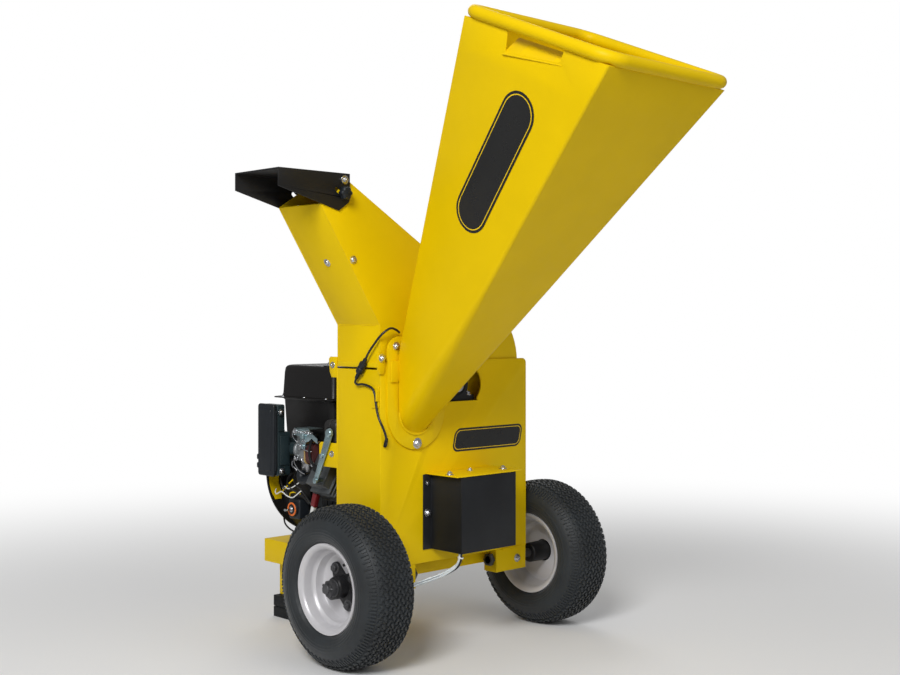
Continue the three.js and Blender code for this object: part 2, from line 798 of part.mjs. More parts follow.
// ---------- running gear ----------
function buildWheel(side) {
  const name = side < 0 ? "left" : "right";
  const wheel = assembly((side * trackWidth) / 2, 0, wheelRadius);
  const bulge = tyreWidth / 2;
  const wall = 9;
  const half = [
    [105, 48], [105, 56], [113.8, 58.8], [128, bulge - 6],
    [150, bulge], [170, bulge - 9], [187, bulge - 24], [wheelRadius, bulge - 46],
  ];
  const inside = [[wheelRadius - wall - 2, bulge - 50], [152, bulge - wall], [122, 60]];
  const mirrored = (points) => points.map(([r, x]) => [r, -x]).reverse();
  const tyre = turned([...half, ...mirrored(half), ...mirrored(inside), ...inside], 36);
  addPart(`tyre_${name}`, tyre, tyreRubber, wheel);

  const [edge, f] = [rimHalfWidth, rimFlangeRadius];
  const rim = [
    [32, 6], [70, 6], [84, 0], [92, 6], [97, edge - 4], [f, edge], [f, edge - 6], [104, 57], [98, 30],
    [98, -30], [104, -57], [f, 6 - edge], [f, -edge], [97, 4 - edge], [92, -8], [84, -4], [70, 2], [32, 2],
  ];
  addPart(`rim_${name}`, turned(rim.map(([r, x]) => [r, side * x]), 24), rimSilver, wheel);

  const lobes = new THREE.Shape();
  const [reach, waist] = [50, 34];
  for (let i = 0; i < 4; i += 1) {
    const angle = (i * Math.PI) / 2 + Math.PI / 4;
    lobes.absarc(reach * Math.cos(angle), reach * Math.sin(angle), 15, angle - 1.1, angle + 1.1, false);
    const notch = angle + Math.PI / 4;
    lobes.lineTo(waist * Math.cos(notch), waist * Math.sin(notch));
  }
  lobes.closePath();
  const [faceIn, faceOut] = side > 0 ? [6 + fit, 15] : [-15, -6 - fit];
  const [barrelIn, barrelOut] = side > 0 ? [-62, 40] : [-40, 62];
  const hub = cut(
    join(prism(lobes, "x", faceIn, faceOut, 5), rod("x", [0, 0], 28, barrelIn, barrelOut)),
    rod("x", [0, 0], axleRadius + running, barrelIn - 1, barrelOut + 1),
  );
  addPart(`hub_${name}`, hub, black, wheel);
}

function buildAxle(side) {
  const name = side < 0 ? "left" : "right";
  const span = (from, to) => (side > 0 ? [from, to] : [-to, -from]);
  const top = housingBottom - fit;
  const bracket = cut(
    block(...span(bracketInner, bracketOuter), housingFront, bracketRear, bracketBottom, top),
    rod("x", [0, wheelRadius], axleRadius + fit, ...span(bracketInner - 1, bracketOuter + 1)),
  );
  addPart(`axle_bracket_${name}`, bracket, yellow);
  const nutFrom = trackWidth / 2 + 43;
  const axle = join(
    rod("x", [0, wheelRadius], axleRadius, ...span(bracketInner - 14, nutFrom + 24)),
    prism(hexagon(36, 0, wheelRadius), "x", ...span(nutFrom, nutFrom + 18)),
    prism(hexagon(36, 0, wheelRadius), "x", ...span(bracketInner - 12, bracketInner - fit)),
  );
  addPart(`stub_axle_${name}`, axle, steel);
}

function buildChassis() {
  const wall = trayWall;
  const front = housingRear + fit;
  const tray = cut(
    block(-trayHalfWidth, trayHalfWidth, front, trayEnd, trayBottom, trayTop),
    block(
      wall - trayHalfWidth, trayHalfWidth - wall,
      front + wall, trayEnd - wall,
      trayBottom - 1, trayTop - wall,
    ),
  );
  const skirtHalf = halfWidth - 12;
  const skirtDepth = 40;
  const skirt = cut(
    block(
      -skirtHalf, skirtHalf,
      bracketRear + fit, front + 1,
      housingBottom - skirtDepth, housingBottom - fit,
    ),
    block(
      wall - skirtHalf, skirtHalf - wall,
      bracketRear + wall, front + 1 - wall,
      housingBottom - skirtDepth - 1, housingBottom + 1,
    ),
  );
  addPart("chassis_tray", join(tray, skirt), yellow);
  for (const side of [-1, 1]) {
    const name = side < 0 ? "left" : "right";
    const legMiddle = trayEnd - wall - legSize / 2 - fit;
    const leg = block(
      side * legX - legSize / 2, side * legX + legSize / 2,
      legMiddle - legSize / 2, legMiddle + legSize / 2,
      footHeight + fit, trayTop - wall - fit,
    );
    addPart(`rear_leg_${name}`, leg, yellow);
    const [cx, cy] = [side * legX, trayEnd - footLength / 2];
    const foot = (inset, low, high) => {
      const [halfX, halfY] = [footWidth / 2 - inset, footLength / 2 - inset];
      return block(cx - halfX, cx + halfX, cy - halfY, cy + halfY, low, high);
    };
    const seam = footHeight * 0.48; // two rubber blocks, one on the other
    const pad = join(foot(0, 0, seam - 1), foot(3, seam - 2, seam + 2), foot(0, seam + 1, footHeight));
    addPart(`foot_block_${name}`, pad, rubber);
  }
}

// ---------- engine ----------
function buildEngine() {
  const engine = assembly(crankX, 0, crankZ);
  const base = trayTop + fit - crankZ;
  const outline = [[-110, base], [125, base], [125, 60], [80, blockTop], [-60, blockTop], [-110, 40]];
  const crankcase = join(
    prism(outline, "y", blockFront, blockRear),
    block(-128, 142, blockFront + 20, blockRear - 20, base, base + 14),
  );
  addPart("engine_crankcase", crankcase, castAlloy, engine);

  const barrelStart = 118;
  const finPitch = 11;
  const fins = [];
  for (let i = 0; i < 6; i += 1) {
    const at = barrelStart + 6 + i * finPitch;
    fins.push(block(at, at + 4, blockFront + 6, blockFront + 92, -70, 70));
  }
  const barrel = join(
    block(barrelStart, barrelStart + 64, blockFront + 16, blockFront + 84, -50, 50),
    ...fins,
    block(barrelStart + 62, barrelStart + 92, blockFront + 12, blockFront + 88, -58, 58),
  );
  const tilt = (solid) => solid.rotate([0, 180 + THREE.MathUtils.radToDeg(cylinderTilt), 0]);
  addPart("engine_cylinder", tilt(barrel), castAlloy, engine);

  const fanFront = blockRear + fit;
  const ductTop = fanRadius - 22;
  const shroud = join(
    rod("y", [0, 0], fanRadius, fanFront, fanFront + fanDepth, 36),
    block(-fanRadius, 10, fanFront, fanFront + fanDepth - 30, 0, ductTop),
  );
  const hollow = join(
    rod("y", [0, 0], fanRadius - fanSheet, fanFront - 1, fanFront + fanDepth - fanSheet, 36),
    block(
      fanSheet - fanRadius, 10,
      fanFront - 1, fanFront + fanDepth - 30 - fanSheet,
      0, ductTop - fanSheet,
    ),
  );
  const fanRear = fanFront + fanDepth;
  const apron = new THREE.Shape();
  apron.absarc(0, apronRise, apronRadius, Math.PI, 1.5 * Math.PI, false);
  apron.lineTo(0, apronTop);
  apron.lineTo(-apronRadius, apronTop);
  apron.closePath();
  const apronPlate = prism(apron, "y", fanRear - 2.5, fanRear, 20);
  addPart("fan_cover", join(cut(shroud, hollow), apronPlate), black, engine);
  const recoilFront = fanFront + fanDepth + fit;
  const recoilRear = recoilFront + recoilDepth;
  addPart("recoil_starter", join(
    rod("y", [0, 0], recoilRadius, recoilFront, recoilRear, 32),
    block(-ropeEye, 0, recoilFront, recoilRear, ropeHeight - 14, ropeHeight + 14),
  ), black, engine);
  const ropeY = (recoilFront + recoilRear) / 2;
  const [gripNear, gripFar] = [-ropeEye - 8, -ropeEye - 24];
  const grip = join(
    block(gripFar, gripNear, ropeY - 9, ropeY + 9, ropeHeight - 36, ropeHeight + 36),
    rod("x", [ropeY, ropeHeight], 7, gripNear - 1, -ropeEye - fit, 12),
  );
  addPart("starter_grip", grip, plastic, engine);
}

function buildTank() {
  const engine = assembly(crankX, blockFront, crankZ);
  const [rim, corner, legSpread, legHalf] = [tankRim, 18, 60, 12];
  const half = (inset, low, high) => {
    const shape = new THREE.Shape();
    const [x0, x1] = [tankLeft + inset, tankRight - inset];
    const [y0, y1] = [tankFront + inset, tankRear - inset];
    shape.absarc(x1 - corner, y0 + corner, corner, -Math.PI / 2, 0, false);
    shape.absarc(x1 - corner, y1 - corner, corner, 0, Math.PI / 2, false);
    shape.absarc(x0 + corner, y1 - corner, corner, Math.PI / 2, Math.PI, false);
    shape.absarc(x0 + corner, y0 + corner, corner, Math.PI, 1.5 * Math.PI, false);
    return prism(shape, "z", low, high, 4);
  };
  const neckTop = tankTop + neckHeight;
  const tank = join(
    half(rim + 6, tankBottom, tankSeam),
    half(0, tankSeam - 2, tankSeam + 2),
    half(rim, tankSeam + 1, tankTop - 8),
    half(rim + 6, tankTop - 9, tankTop),
    rod("z", fillerPlace, neckRadius, tankTop - 1, neckTop, 20),
  );
  const legs = [[-1, -1], [1, -1], [-1, 1], [1, 1]].map(([sx, sy]) => {
    const x = (tankLeft + tankRight) / 2 + sx * legSpread;
    const y = blockDepth - 46 + sy * 26;
    return block(x - legHalf, x + legHalf, y - legHalf, y + legHalf, blockTop + fit, tankBottom + 1);
  });
  const inside = join(
    half(rim + 6 + tankSheet, tankBottom + tankSheet, tankSeam + 1),
    half(rim + 6 + tankSheet, tankSeam, tankTop - tankSheet),
    rod("z", fillerPlace, neckRadius - tankSheet, tankTop - 10, neckTop + 1, 20),
  );
  addPart("fuel_tank", cut(join(tank, ...legs), inside), black, engine);
  addPart("fuel_cap", cut(
    rod("z", fillerPlace, neckRadius + 10, tankTop + fit, neckTop + 19, 24),
    rod("z", fillerPlace, neckRadius + fit, tankTop - 1, neckTop + 1, 20),
  ), plastic, engine);
}

// Fittings round the engine, measured from the crankshaft and the front of the crankcase.
function buildEngineTrim() {
  const engine = assembly(crankX, blockFront, crankZ);
  const inlet = [-150, 134];
  const cleaner = join(
    block(-222, -182, 221, 298, 60, 264),
    block(-183, -163, 221, 298, 60, 184),
    block(-180, -130, 236, 280, 104, 164),
    rod("y", inlet, 20, 196, 240, 16),
  );
  addPart("air_cleaner", cleaner, plastic, engine);
  const carburettor = join(
    rod("y", inlet, 24, 94 + fit, 106, 18),
    rod("y", inlet, 18, 102, 195, 18),
    block(-174, -128, 117, 172, 104, 162),
    rod("z", [-150, 144], 19, 70, 108, 16),
  );
  addPart("carburettor", carburettor, castAlloy, engine);
  const muffler = join(
    block(-222, -110, -58, -6, 154, 234),
    block(-175, -140, -32, 12, 134, 156),
  );
  addPart("muffler", muffler, steel, engine);
  const motor = join(
    rod("y", [-148, -81], 32, 34, 157, 20),
    block(-166, -138, 52, 132, -54, -22),
  );
  addPart("starter_motor", motor, black, engine);

  const switchFace = -174;
  const [switchY, switchZ] = [190, -31];
  addPart("switch_box", block(
    switchFace, -136,
    switchY - 26, switchY + 26,
    switchZ - 29, switchZ + 29,
  ), plastic, engine);
  const key = join(
    rod("x", [switchY, switchZ], 4, switchFace - 12, switchFace - fit, 10),
    block(switchFace - 32, switchFace - 11, switchY - 8, switchY + 8, switchZ - 3, switchZ + 3),
  );
  addPart("ignition_key", key, steel, engine);
  const lever = join(
    prism([[-59, 203], [-40, 211], [21, 73], [6, 66]], "x", -236, -231),
    rod("x", [12, 70], 8, -240, -213, 12),
  );
  addPart("throttle_lever", lever, steel, engine);
}

// ---------- battery ----------
function buildBattery() {
  const [x0, x1] = [batteryLeft, batteryLeft + batteryWidth];
  const rear = housingFront - fit;
  const front = rear - batteryDepth;
  const wall = batterySheet;
  const box = cut(
    join(
      block(x0, x1, front, rear, batteryBottom, batteryTop),
      block(x0 - 28, x1, rear - wall, rear, batteryBottom, batteryTop),
    ),
    block(x0 + wall, x1 - wall, front + wall, rear - wall, batteryBottom + wall, batteryTop + 1),
    rod("z", cableExit, leadRadius + 1, batteryBottom - 1, batteryBottom + wall + 1, 12),
  );
  addPart("battery_box", box, black);
  const lidBottom = batteryTop + fit;
  const lid = block(x0 - 18, x1 + 22, front - 3, rear, lidBottom, lidBottom + lidThickness);
  addPart("battery_lid", lid, yellow);

  const [halfX, halfY, height] = [88, 38, 155];
  const bx = x1 - wall - 2 - halfX;
  const by = (front + rear) / 2;
  const floor = batteryBottom + wall + fit;
  const top = floor + height;
  const terminal = (from) => block(bx + from, bx + from + 18, by - 30, by - 16, top - 1, top + 13);
  const battery = join(
    block(bx - halfX, bx + halfX, by - halfY, by + halfY, floor, top),
    terminal(-78),
    terminal(60),
  );
  addPart("battery", battery, plastic);
}

// ---------- leads ----------
function buildLeads() {
  const [exitX, exitY] = cableExit;
  const cable = [
    [exitX, exitY, batteryBottom + 34],
    [exitX, exitY, batteryBottom],
    [exitX - 1, exitY + 2, batteryBottom - 18],
    [exitX - 8, exitY + 13, batteryBottom - 38],
    [-116, -86, 208], [-144, -58, 194], [-170, -38, 184], [-192, -32, 174],
    [-204, -26, 163], [-207, -6, 157], [-207, 40, 158], [-208, 100, 166],
    [crankX - 171, blockFront - 78, crankZ - 190],
    [crankX - 174, blockFront - 43, crankZ - 170],
    [crankX - 174, blockFront - 18, crankZ - 136],
    [crankX - 166, blockFront, crankZ - 104],
    [crankX - 157, blockFront + 12, crankZ - 90],
    [crankX - 152, blockFront + 30, crankZ - 87],
  ];
  addPart("battery_cable", tube(cable, leadRadius, 8, 48), cableSheath);

  // The lead of the hopper switch hangs beside the housing, in two halves with a plug between them.
  const side = -halfWidth;
  const plugTop = [side - 10.5, 24, 768];
  const plugEnd = [side - 10.5, 62, 716];
  const upper = [
    [throatX - 63, -30, 835], [throatX - 78, -34, 842], [throatX - 96, -36, 846],
    [side + 7.5, -36, 840], [side - 4.5, -26, 826], [side - 9.5, -8, 805], [side - 10.5, 10, 786],
    plugTop,
  ];
  addPart("safety_lead_upper", tube(upper, switchLeadRadius, 8, 24), rubber);
  const lower = [
    plugEnd,
    [side - 10.5, 66, 706], [side - 9.5, 58, 701], [side - 7.5, 40, 702], [side - 6.5, 20, 699],
    [side - 6.5, 2, 692], [side - 6.5, -8, 676], [side - 6.5, -12, 652], [side - 6.5, -20, 624],
    [side - 4.5, -30, 604], [side + 3.5, -33, 585], [side + 10.5, -32, 566], [side + 12.5, -30, 550],
  ];
  addPart("safety_lead_lower", tube(lower, switchLeadRadius, 8, 32), rubber);

  const start = new THREE.Vector3(...plugTop);
  const line = new THREE.Vector3(...plugEnd).sub(start);
  const length = line.length();
  const turn = new THREE.Quaternion().setFromUnitVectors(
    new THREE.Vector3(0, 1, 0), line.clone().normalize());
  const plug = (radius, from, to) => {
    const body = new THREE.CylinderGeometry(radius, radius, to - from, 12);
    body.translate(0, (from + to) / 2, 0);
    body.applyQuaternion(turn);
    body.translate(start.x, start.y, start.z);
    return toSolid(body);
  };
  const connector = join(
    plug(4.5, 1, length - 1.5),
    plug(7, 12, length - 12),
    plug(9, 26, 44),
  );
  addPart("safety_connector", connector, rubber);
}

buildHousing();
buildBearings();
buildCasing();
buildHopper();
buildHood();
buildRotor();
buildBeltDrive();
for (const side of [-1, 1]) {
  buildWheel(side);
  buildAxle(side);
}
buildChassis();
buildEngine();
buildTank();
buildEngineTrim();
buildBattery();
buildLeads();

// The machine's origin is the middle of its bounding box, on the ground.
machine.updateMatrixWorld(true);
const bounds = new THREE.Box3().setFromObject(machine, true);
const middle = bounds.getCenter(new THREE.Vector3());
machine.position.set(-middle.x, -middle.y, -bounds.min.z);
const chipper = new THREE.Group();
chipper.add(machine);

export default chipper;
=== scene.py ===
"""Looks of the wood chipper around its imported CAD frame. Sizes are written in millimetres in the
design frame (origin on the ground under the axle, -Y feed side, -X discharge side); place() turns
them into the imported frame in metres, shifted to where the CAD wheels stand."""
import json
from math import atan2, copysign, cos, dist, hypot, pi, radians, sin, sqrt

import bmesh
import bpy
from mathutils import Matrix, Vector

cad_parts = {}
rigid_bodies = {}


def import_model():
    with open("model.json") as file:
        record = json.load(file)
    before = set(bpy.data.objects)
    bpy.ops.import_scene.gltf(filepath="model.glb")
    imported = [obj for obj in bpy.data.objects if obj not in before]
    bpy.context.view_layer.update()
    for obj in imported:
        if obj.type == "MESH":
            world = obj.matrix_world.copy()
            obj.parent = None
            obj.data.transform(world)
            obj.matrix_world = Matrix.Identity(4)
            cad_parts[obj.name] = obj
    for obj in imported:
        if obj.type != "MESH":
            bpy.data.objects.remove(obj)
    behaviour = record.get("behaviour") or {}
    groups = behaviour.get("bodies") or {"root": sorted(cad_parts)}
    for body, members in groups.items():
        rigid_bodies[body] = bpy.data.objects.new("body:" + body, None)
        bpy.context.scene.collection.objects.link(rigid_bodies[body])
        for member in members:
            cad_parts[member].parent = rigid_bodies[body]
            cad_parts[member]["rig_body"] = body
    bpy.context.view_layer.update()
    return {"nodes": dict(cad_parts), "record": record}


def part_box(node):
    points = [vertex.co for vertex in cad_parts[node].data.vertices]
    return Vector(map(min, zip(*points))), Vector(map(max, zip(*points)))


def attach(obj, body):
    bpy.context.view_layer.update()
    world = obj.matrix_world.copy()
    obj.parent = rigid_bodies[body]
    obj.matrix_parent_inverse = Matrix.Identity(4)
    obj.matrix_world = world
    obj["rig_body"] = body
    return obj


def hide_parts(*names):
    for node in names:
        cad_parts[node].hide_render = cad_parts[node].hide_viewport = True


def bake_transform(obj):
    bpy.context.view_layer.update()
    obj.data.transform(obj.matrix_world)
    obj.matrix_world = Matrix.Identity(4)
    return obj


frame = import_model()
scene = bpy.context.scene

# ---------- frame ----------
left_low, left_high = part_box("tyre_left")
right_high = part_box("tyre_right")[1]
SHIFT = Vector(((left_low.x + right_high.x) / 2, (left_low.y + left_high.y) / 2, 0))
ROOT = "machine"


def place(point):
    return Vector(point) / 1000 + SHIFT


# ---------- camera ----------
CAMERA_YAW = radians(43.5)
camera_data = bpy.data.cameras.new("camera")
camera_data.sensor_width = 36
camera_data.lens = 51.24
camera_data.shift_y = -0.0194
camera = bpy.data.objects.new("camera", camera_data)
camera.location = place((-2378, -2500.1, 866.8))
camera.rotation_euler = (pi / 2, 0, -CAMERA_YAW)
scene.collection.objects.link(camera)
scene.camera = camera
scene.view_settings.view_transform = "Standard"
scene.view_settings.look = "None"


def shader(name, colour, rough, metal=0.0, coat=0.0, blotch=0.05, patch=7.0, grain=900.0, bump=0.08,
        fleck=None, edge_highlight=None, sheen=0.0, gloss=0.5):
    """Procedural finish: slow colour patches, fine grain in the bump, roughness that varies."""
    material = bpy.data.materials.new(name)
    material.use_nodes = True
    nodes, links = material.node_tree.nodes, material.node_tree.links
    surface = nodes["Principled BSDF"]
    surface.inputs["Metallic"].default_value = metal
    surface.inputs["Coat Weight"].default_value = coat
    surface.inputs["Coat Roughness"].default_value = 0.25
    surface.inputs["Specular IOR Level"].default_value = gloss
    surface.inputs["Sheen Weight"].default_value = sheen
    where = nodes.new("ShaderNodeTexCoord")

    def noise(scale, detail):
        node = nodes.new("ShaderNodeTexNoise")
        node.inputs["Scale"].default_value = scale
        node.inputs["Detail"].default_value = detail
        links.new(where.outputs["Object"], node.inputs["Vector"])
        return node.outputs["Fac"]

    def mix(factor, a, b):
        node = nodes.new("ShaderNodeMix")
        node.data_type = "RGBA"
        for socket, value in ((6, a), (7, b)):
            if isinstance(value, bpy.types.NodeSocket):
                links.new(value, node.inputs[socket])
            else:
                node.inputs[socket].default_value = (*value, 1)
        if isinstance(factor, bpy.types.NodeSocket):
            links.new(factor, node.inputs[0])
        else:
            node.inputs[0].default_value = factor
        return node.outputs[2]

    def spread(value, low, high, to_low, to_high):
        node = nodes.new("ShaderNodeMapRange")
        for socket, number in zip(node.inputs[1:5], (low, high, to_low, to_high)):
            socket.default_value = number
        links.new(value, node.inputs[0])
        return node.outputs[0]

    dark = [c * (1 - blotch) for c in colour]
    light = [min(1, c * (1 + blotch)) for c in colour]
    tone = mix(spread(noise(patch, 4), 0.35, 0.65, 0, 1), dark, light)
    if fleck:
        tone = mix(spread(noise(fleck[0], 2), 0.58, 0.64, 0, fleck[2]), tone, fleck[1])
    # Painted highlight: convex edges, found by pointiness, are lightened towards a paler yellow.
    if edge_highlight:
        geometry = nodes.new("ShaderNodeNewGeometry")
        tone = mix(spread(geometry.outputs["Pointiness"], 0.53, 0.6, 0, edge_highlight[1]), tone, edge_highlight[0])
    links.new(tone, surface.inputs["Base Color"])
    links.new(spread(noise(patch * 5, 6), 0.3, 0.7, rough - 0.05, rough + 0.05), surface.inputs["Roughness"])
    relief = nodes.new("ShaderNodeBump")
    relief.inputs["Strength"].default_value = bump
    relief.inputs["Distance"].default_value = 0.0004
    links.new(noise(grain, 3), relief.inputs["Height"])
    links.new(relief.outputs["Normal"], surface.inputs["Normal"])
    return material


# The paler yellow on this coat's convex edges is a painted highlight.
YELLOW = shader("yellow_powder_coat", (0.79, 0.535, 0.0), 0.42, blotch=0.025, grain=420,
    bump=0.1, gloss=0.12, edge_highlight=((0.82, 0.60, 0.01), 0.3))
BLACK = shader("black_powder_coat", (0.010, 0.010, 0.011), 0.45, gloss=0.3, blotch=0.15,
    grain=500, bump=0.15)
ZINC = shader("zinc_plated_steel", (0.62, 0.63, 0.66), 0.26, metal=1, blotch=0.1, patch=60,
    grain=1500, bump=0.05)
STEEL = shader("ground_steel", (0.45, 0.45, 0.46), 0.35, metal=1, blotch=0.12, patch=25, grain=1200,
    bump=0.1)
BURNT = shader("heat_darkened_steel", (0.05, 0.048, 0.048), 0.5, metal=0.8, blotch=0.3, patch=18,
    bump=0.15)
CAST = shader("cast_aluminium", (0.36, 0.38, 0.39), 0.5, metal=0.8, blotch=0.12, patch=20,
    grain=700, bump=0.45)
ENGINE = shader("dark_engine_casting", (0.13, 0.14, 0.145), 0.5, metal=0.7, blotch=0.25,
    patch=18, grain=700, bump=0.5)
IRON = shader("cast_iron_grey", (0.10, 0.10, 0.105), 0.55, metal=0.7, blotch=0.2, patch=20,
    grain=500, bump=0.5)
RIM = shader("rim_silver_paint", (0.60, 0.59, 0.61), 0.36, metal=0.2, coat=0.2, blotch=0.04,
    grain=1500, bump=0.05)
TYRE = shader("tyre_rubber", (0.011, 0.0145, 0.0175), 0.6, blotch=0.25, patch=12, grain=1200,
    bump=0.3, sheen=0.12)
RUBBER = shader("black_rubber", (0.008, 0.009, 0.010), 0.7, gloss=0.3, blotch=0.2, patch=15,
    grain=800, bump=0.3)
PLASTIC = shader("black_moulded_plastic", (0.012, 0.015, 0.019), 0.42, gloss=0.35,
    blotch=0.12, patch=10, grain=1100, bump=0.2)
TEAL = shader("dark_teal_plastic", (0.018, 0.034, 0.040), 0.45, blotch=0.12, patch=10,
    grain=1100, bump=0.2)
TANK = shader("tank_black_enamel", (0.009, 0.008, 0.008), 0.38, gloss=0.3, blotch=0.12,
    patch=6, grain=600, bump=0.12)
BATTERY = shader("battery_box_paint", (0.010, 0.011, 0.013), 0.42, gloss=0.3, blotch=0.2,
    patch=8, grain=500, bump=0.15)
SLEEVE = shader("clear_cable_sleeve", (0.62, 0.68, 0.72), 0.25, coat=0.3, blotch=0.15,
    patch=40, grain=600, bump=0.1)
CABLE = shader("black_cable_sheath", (0.012, 0.012, 0.012), 0.4, blotch=0.2, patch=30,
    grain=900, bump=0.1)
RED = shader("red_connector_plastic", (0.16, 0.008, 0.012), 0.4, blotch=0.1, patch=40)
WHITE = shader("white_connector_plastic", (0.75, 0.76, 0.74), 0.4, blotch=0.06, patch=40)
MAROON = shader("maroon_insulator", (0.075, 0.018, 0.018), 0.5, blotch=0.2, patch=30, grain=700,
    bump=0.3)
GASKET = shader("gasket_paper", (0.50, 0.34, 0.12), 0.7, blotch=0.15, patch=60, grain=900, bump=0.3)
ORANGE = shader("orange_ring", (0.75, 0.16, 0.02), 0.4, blotch=0.08, patch=40)
PASSIVATED = shader("blue_passivated_steel", (0.34, 0.45, 0.48), 0.3, metal=0.85, blotch=0.15,
    patch=40, bump=0.05)
DECAL = shader("decal_film", (0.010, 0.010, 0.010), 0.3, coat=0.2, blotch=0.1, grain=300,
    bump=0.03)
DECAL_LINE = shader("decal_line", (0.83, 0.56, 0.004), 0.3, coat=0.2, blotch=0.03, grain=300,
    bump=0.03)

slot_material = {
    "yellow_paint": YELLOW, "black_paint": BLACK, "steel": STEEL, "cast_alloy": CAST, "cast_iron": IRON,
    "rim_silver": RIM, "tyre": TYRE, "rubber": RUBBER, "black_plastic": PLASTIC, "battery_case": PLASTIC,
    "cable_sheath": SLEEVE, "lead_black": CABLE,
}
node_slot = {part["node"]: part["material_slot"] for part in frame["record"]["subparts"]}
for node_name, node_object in frame["nodes"].items():
    node_object.data.materials.clear()
    node_object.data.materials.append(slot_material[node_slot[node_name]])


# ---------- mesh helpers: each shape is (points in mm, faces) ----------
def loft(rings, closed=False, caps=True):
    count = len(rings[0])
    points = [p for ring in rings for p in ring]
    faces = []
    last = len(rings) if closed else len(rings) - 1
    for r in range(last):
        a, b = r * count, ((r + 1) % len(rings)) * count
        for i in range(count):
            j = (i + 1) % count
            faces.append((a + i, a + j, b + j, b + i))
    if caps and not closed:
        faces.append(tuple(reversed(range(count))))
        faces.append(tuple(range((len(rings) - 1) * count, len(rings) * count)))
    return points, faces


AXES = {"x": (1, 2, 0), "y": (2, 0, 1), "z": (0, 1, 2)}


def spot(axis, u, v, along):
    point = [0, 0, 0]
    first, second, third = AXES[axis]
    point[first], point[second], point[third] = u, v, along
    return tuple(point)


def turn(profile, centre, axis, n=48, closed=False):
    """Profile of (radius, along) about an axis; centre holds the two coordinates across it, X Y Z order."""
    u0, v0 = centre if axis != "y" else (centre[1], centre[0])
    rings = []
    for radius, along in profile:
        rings.append([spot(axis, u0 + radius * cos(t), v0 + radius * sin(t), along)
                for t in (2 * pi * k / n for k in range(n))])
    return loft(rings, closed=closed)


def rod(axis, centre, radius, start, end, n=32, soft=1.0):
    soft = min(soft, abs(end - start) / 3, radius / 3)
    return turn([(radius - soft, start), (radius, start + soft), (radius, end - soft), (radius - soft, end)],
        centre, axis, n)


def lifted(outline, axis, along):
    """Outline in (Y, Z) for axis x, (X, Z) for axis y and (X, Y) for axis z, stood at a place along it."""
    if axis == "x":
        return [(along, a, b) for a, b in outline]
    if axis == "y":
        return [(a, along, b) for a, b in outline]
    return [(a, b, along) for a, b in outline]


def prism(outline, axis, start, end):
    return loft([lifted(outline, axis, start), lifted(outline, axis, end)])


def slab(x0, x1, y0, y1, z0, z1):
    return prism([(x0, y0), (x1, y0), (x1, y1), (x0, y1)], "z", z0, z1)


def round_rect(a0, a1, b0, b1, radius, n=6):
    points = []
    for ca, cb, quarter in ((a1, b0, 3), (a1, b1, 0), (a0, b1, 1), (a0, b0, 2)):
        ca += radius if ca == a0 else -radius
        cb += radius if cb == b0 else -radius
        for k in range(n + 1):
            t = (quarter + k / n) * pi / 2
            points.append((ca + radius * cos(t), cb + radius * sin(t)))
    return points


def soft_box(x0, x1, y0, y1, z0, z1, radius, soft, axis="z", n=6):
    """Box with round corners across its axis and softly rounded ends."""
    spans = {"x": (y0, y1, z0, z1, x0, x1), "y": (x0, x1, z0, z1, y0, y1), "z": (x0, x1, y0, y1, z0, z1)}
    a0, a1, b0, b1, start, end = spans[axis]
    rings = []
    steps = 4
    for side in (0, 1):
        for k in range(steps + 1):
            t = (k if side == 0 else steps - k) / steps * pi / 2
            inset = soft * (1 - sin(t))
            along = start + soft * (1 - cos(t)) if side == 0 else end - soft * (1 - cos(t))
            outline = round_rect(a0 + inset, a1 - inset, b0 + inset, b1 - inset, max(radius - inset, 0.6), n)
            rings.append(lifted(outline, axis, along))
    return loft(rings)


def smooth_path(points, steps=6, closed=False):
    """Catmull-Rom curve through the points."""
    out = []
    count = len(points)
    for i in range(count if closed else count - 1):
        p = [Vector(points[(i + k) % count] if closed else points[min(max(i + k, 0), count - 1)])
            for k in (-1, 0, 1, 2)]
        for s in range(steps):
            t = s / steps
            out.append(0.5 * ((2 * p[1]) + (p[2] - p[0]) * t + (2 * p[0] - 5 * p[1] + 4 * p[2] - p[3]) * t * t
                    + (3 * p[1] - p[0] - 3 * p[2] + p[3]) * t ** 3))
    if not closed:
        out.append(Vector(points[-1]))
    return out


def sweep(points, radius, sides=12, closed=False):
    """Round bar along points; radius may be a number or a function of the share along it."""
    path = [Vector(p) for p in points]
    count = len(path)
    normal = None
    rings = []
    for i, p in enumerate(path):
        ahead = path[(i + 1) % count] if closed else path[min(i + 1, count - 1)]
        behind = path[i - 1] if closed or i else path[0]
        tangent = (ahead - behind).normalized()
        if normal is None:
            normal = tangent.orthogonal().normalized()
        normal = (normal - tangent * normal.dot(tangent)).normalized()
        side = tangent.cross(normal)
        size = radius(i / (count - 1)) if callable(radius) else radius
        rings.append([tuple(p + normal * size * cos(t) + side * size * sin(t))
                for t in (2 * pi * k / sides for k in range(sides))])
    return loft(rings, closed=closed)


def moved(shape, matrix):
    points, faces = shape
    return [tuple(matrix @ Vector(p)) for p in points], faces


def about(centre, axis, degrees):
    shift = Matrix.Translation(Vector(centre))
    return shift @ Matrix.Rotation(radians(degrees), 4, axis.upper()) @ shift.inverted()


def facing(position, direction):
    """Matrix that stands a shape drawn along +Z at the origin on a position, along a direction."""
    quaternion = Vector((0, 0, 1)).rotation_difference(Vector(direction).normalized())
    return Matrix.Translation(Vector(position)) @ quaternion.to_matrix().to_4x4()


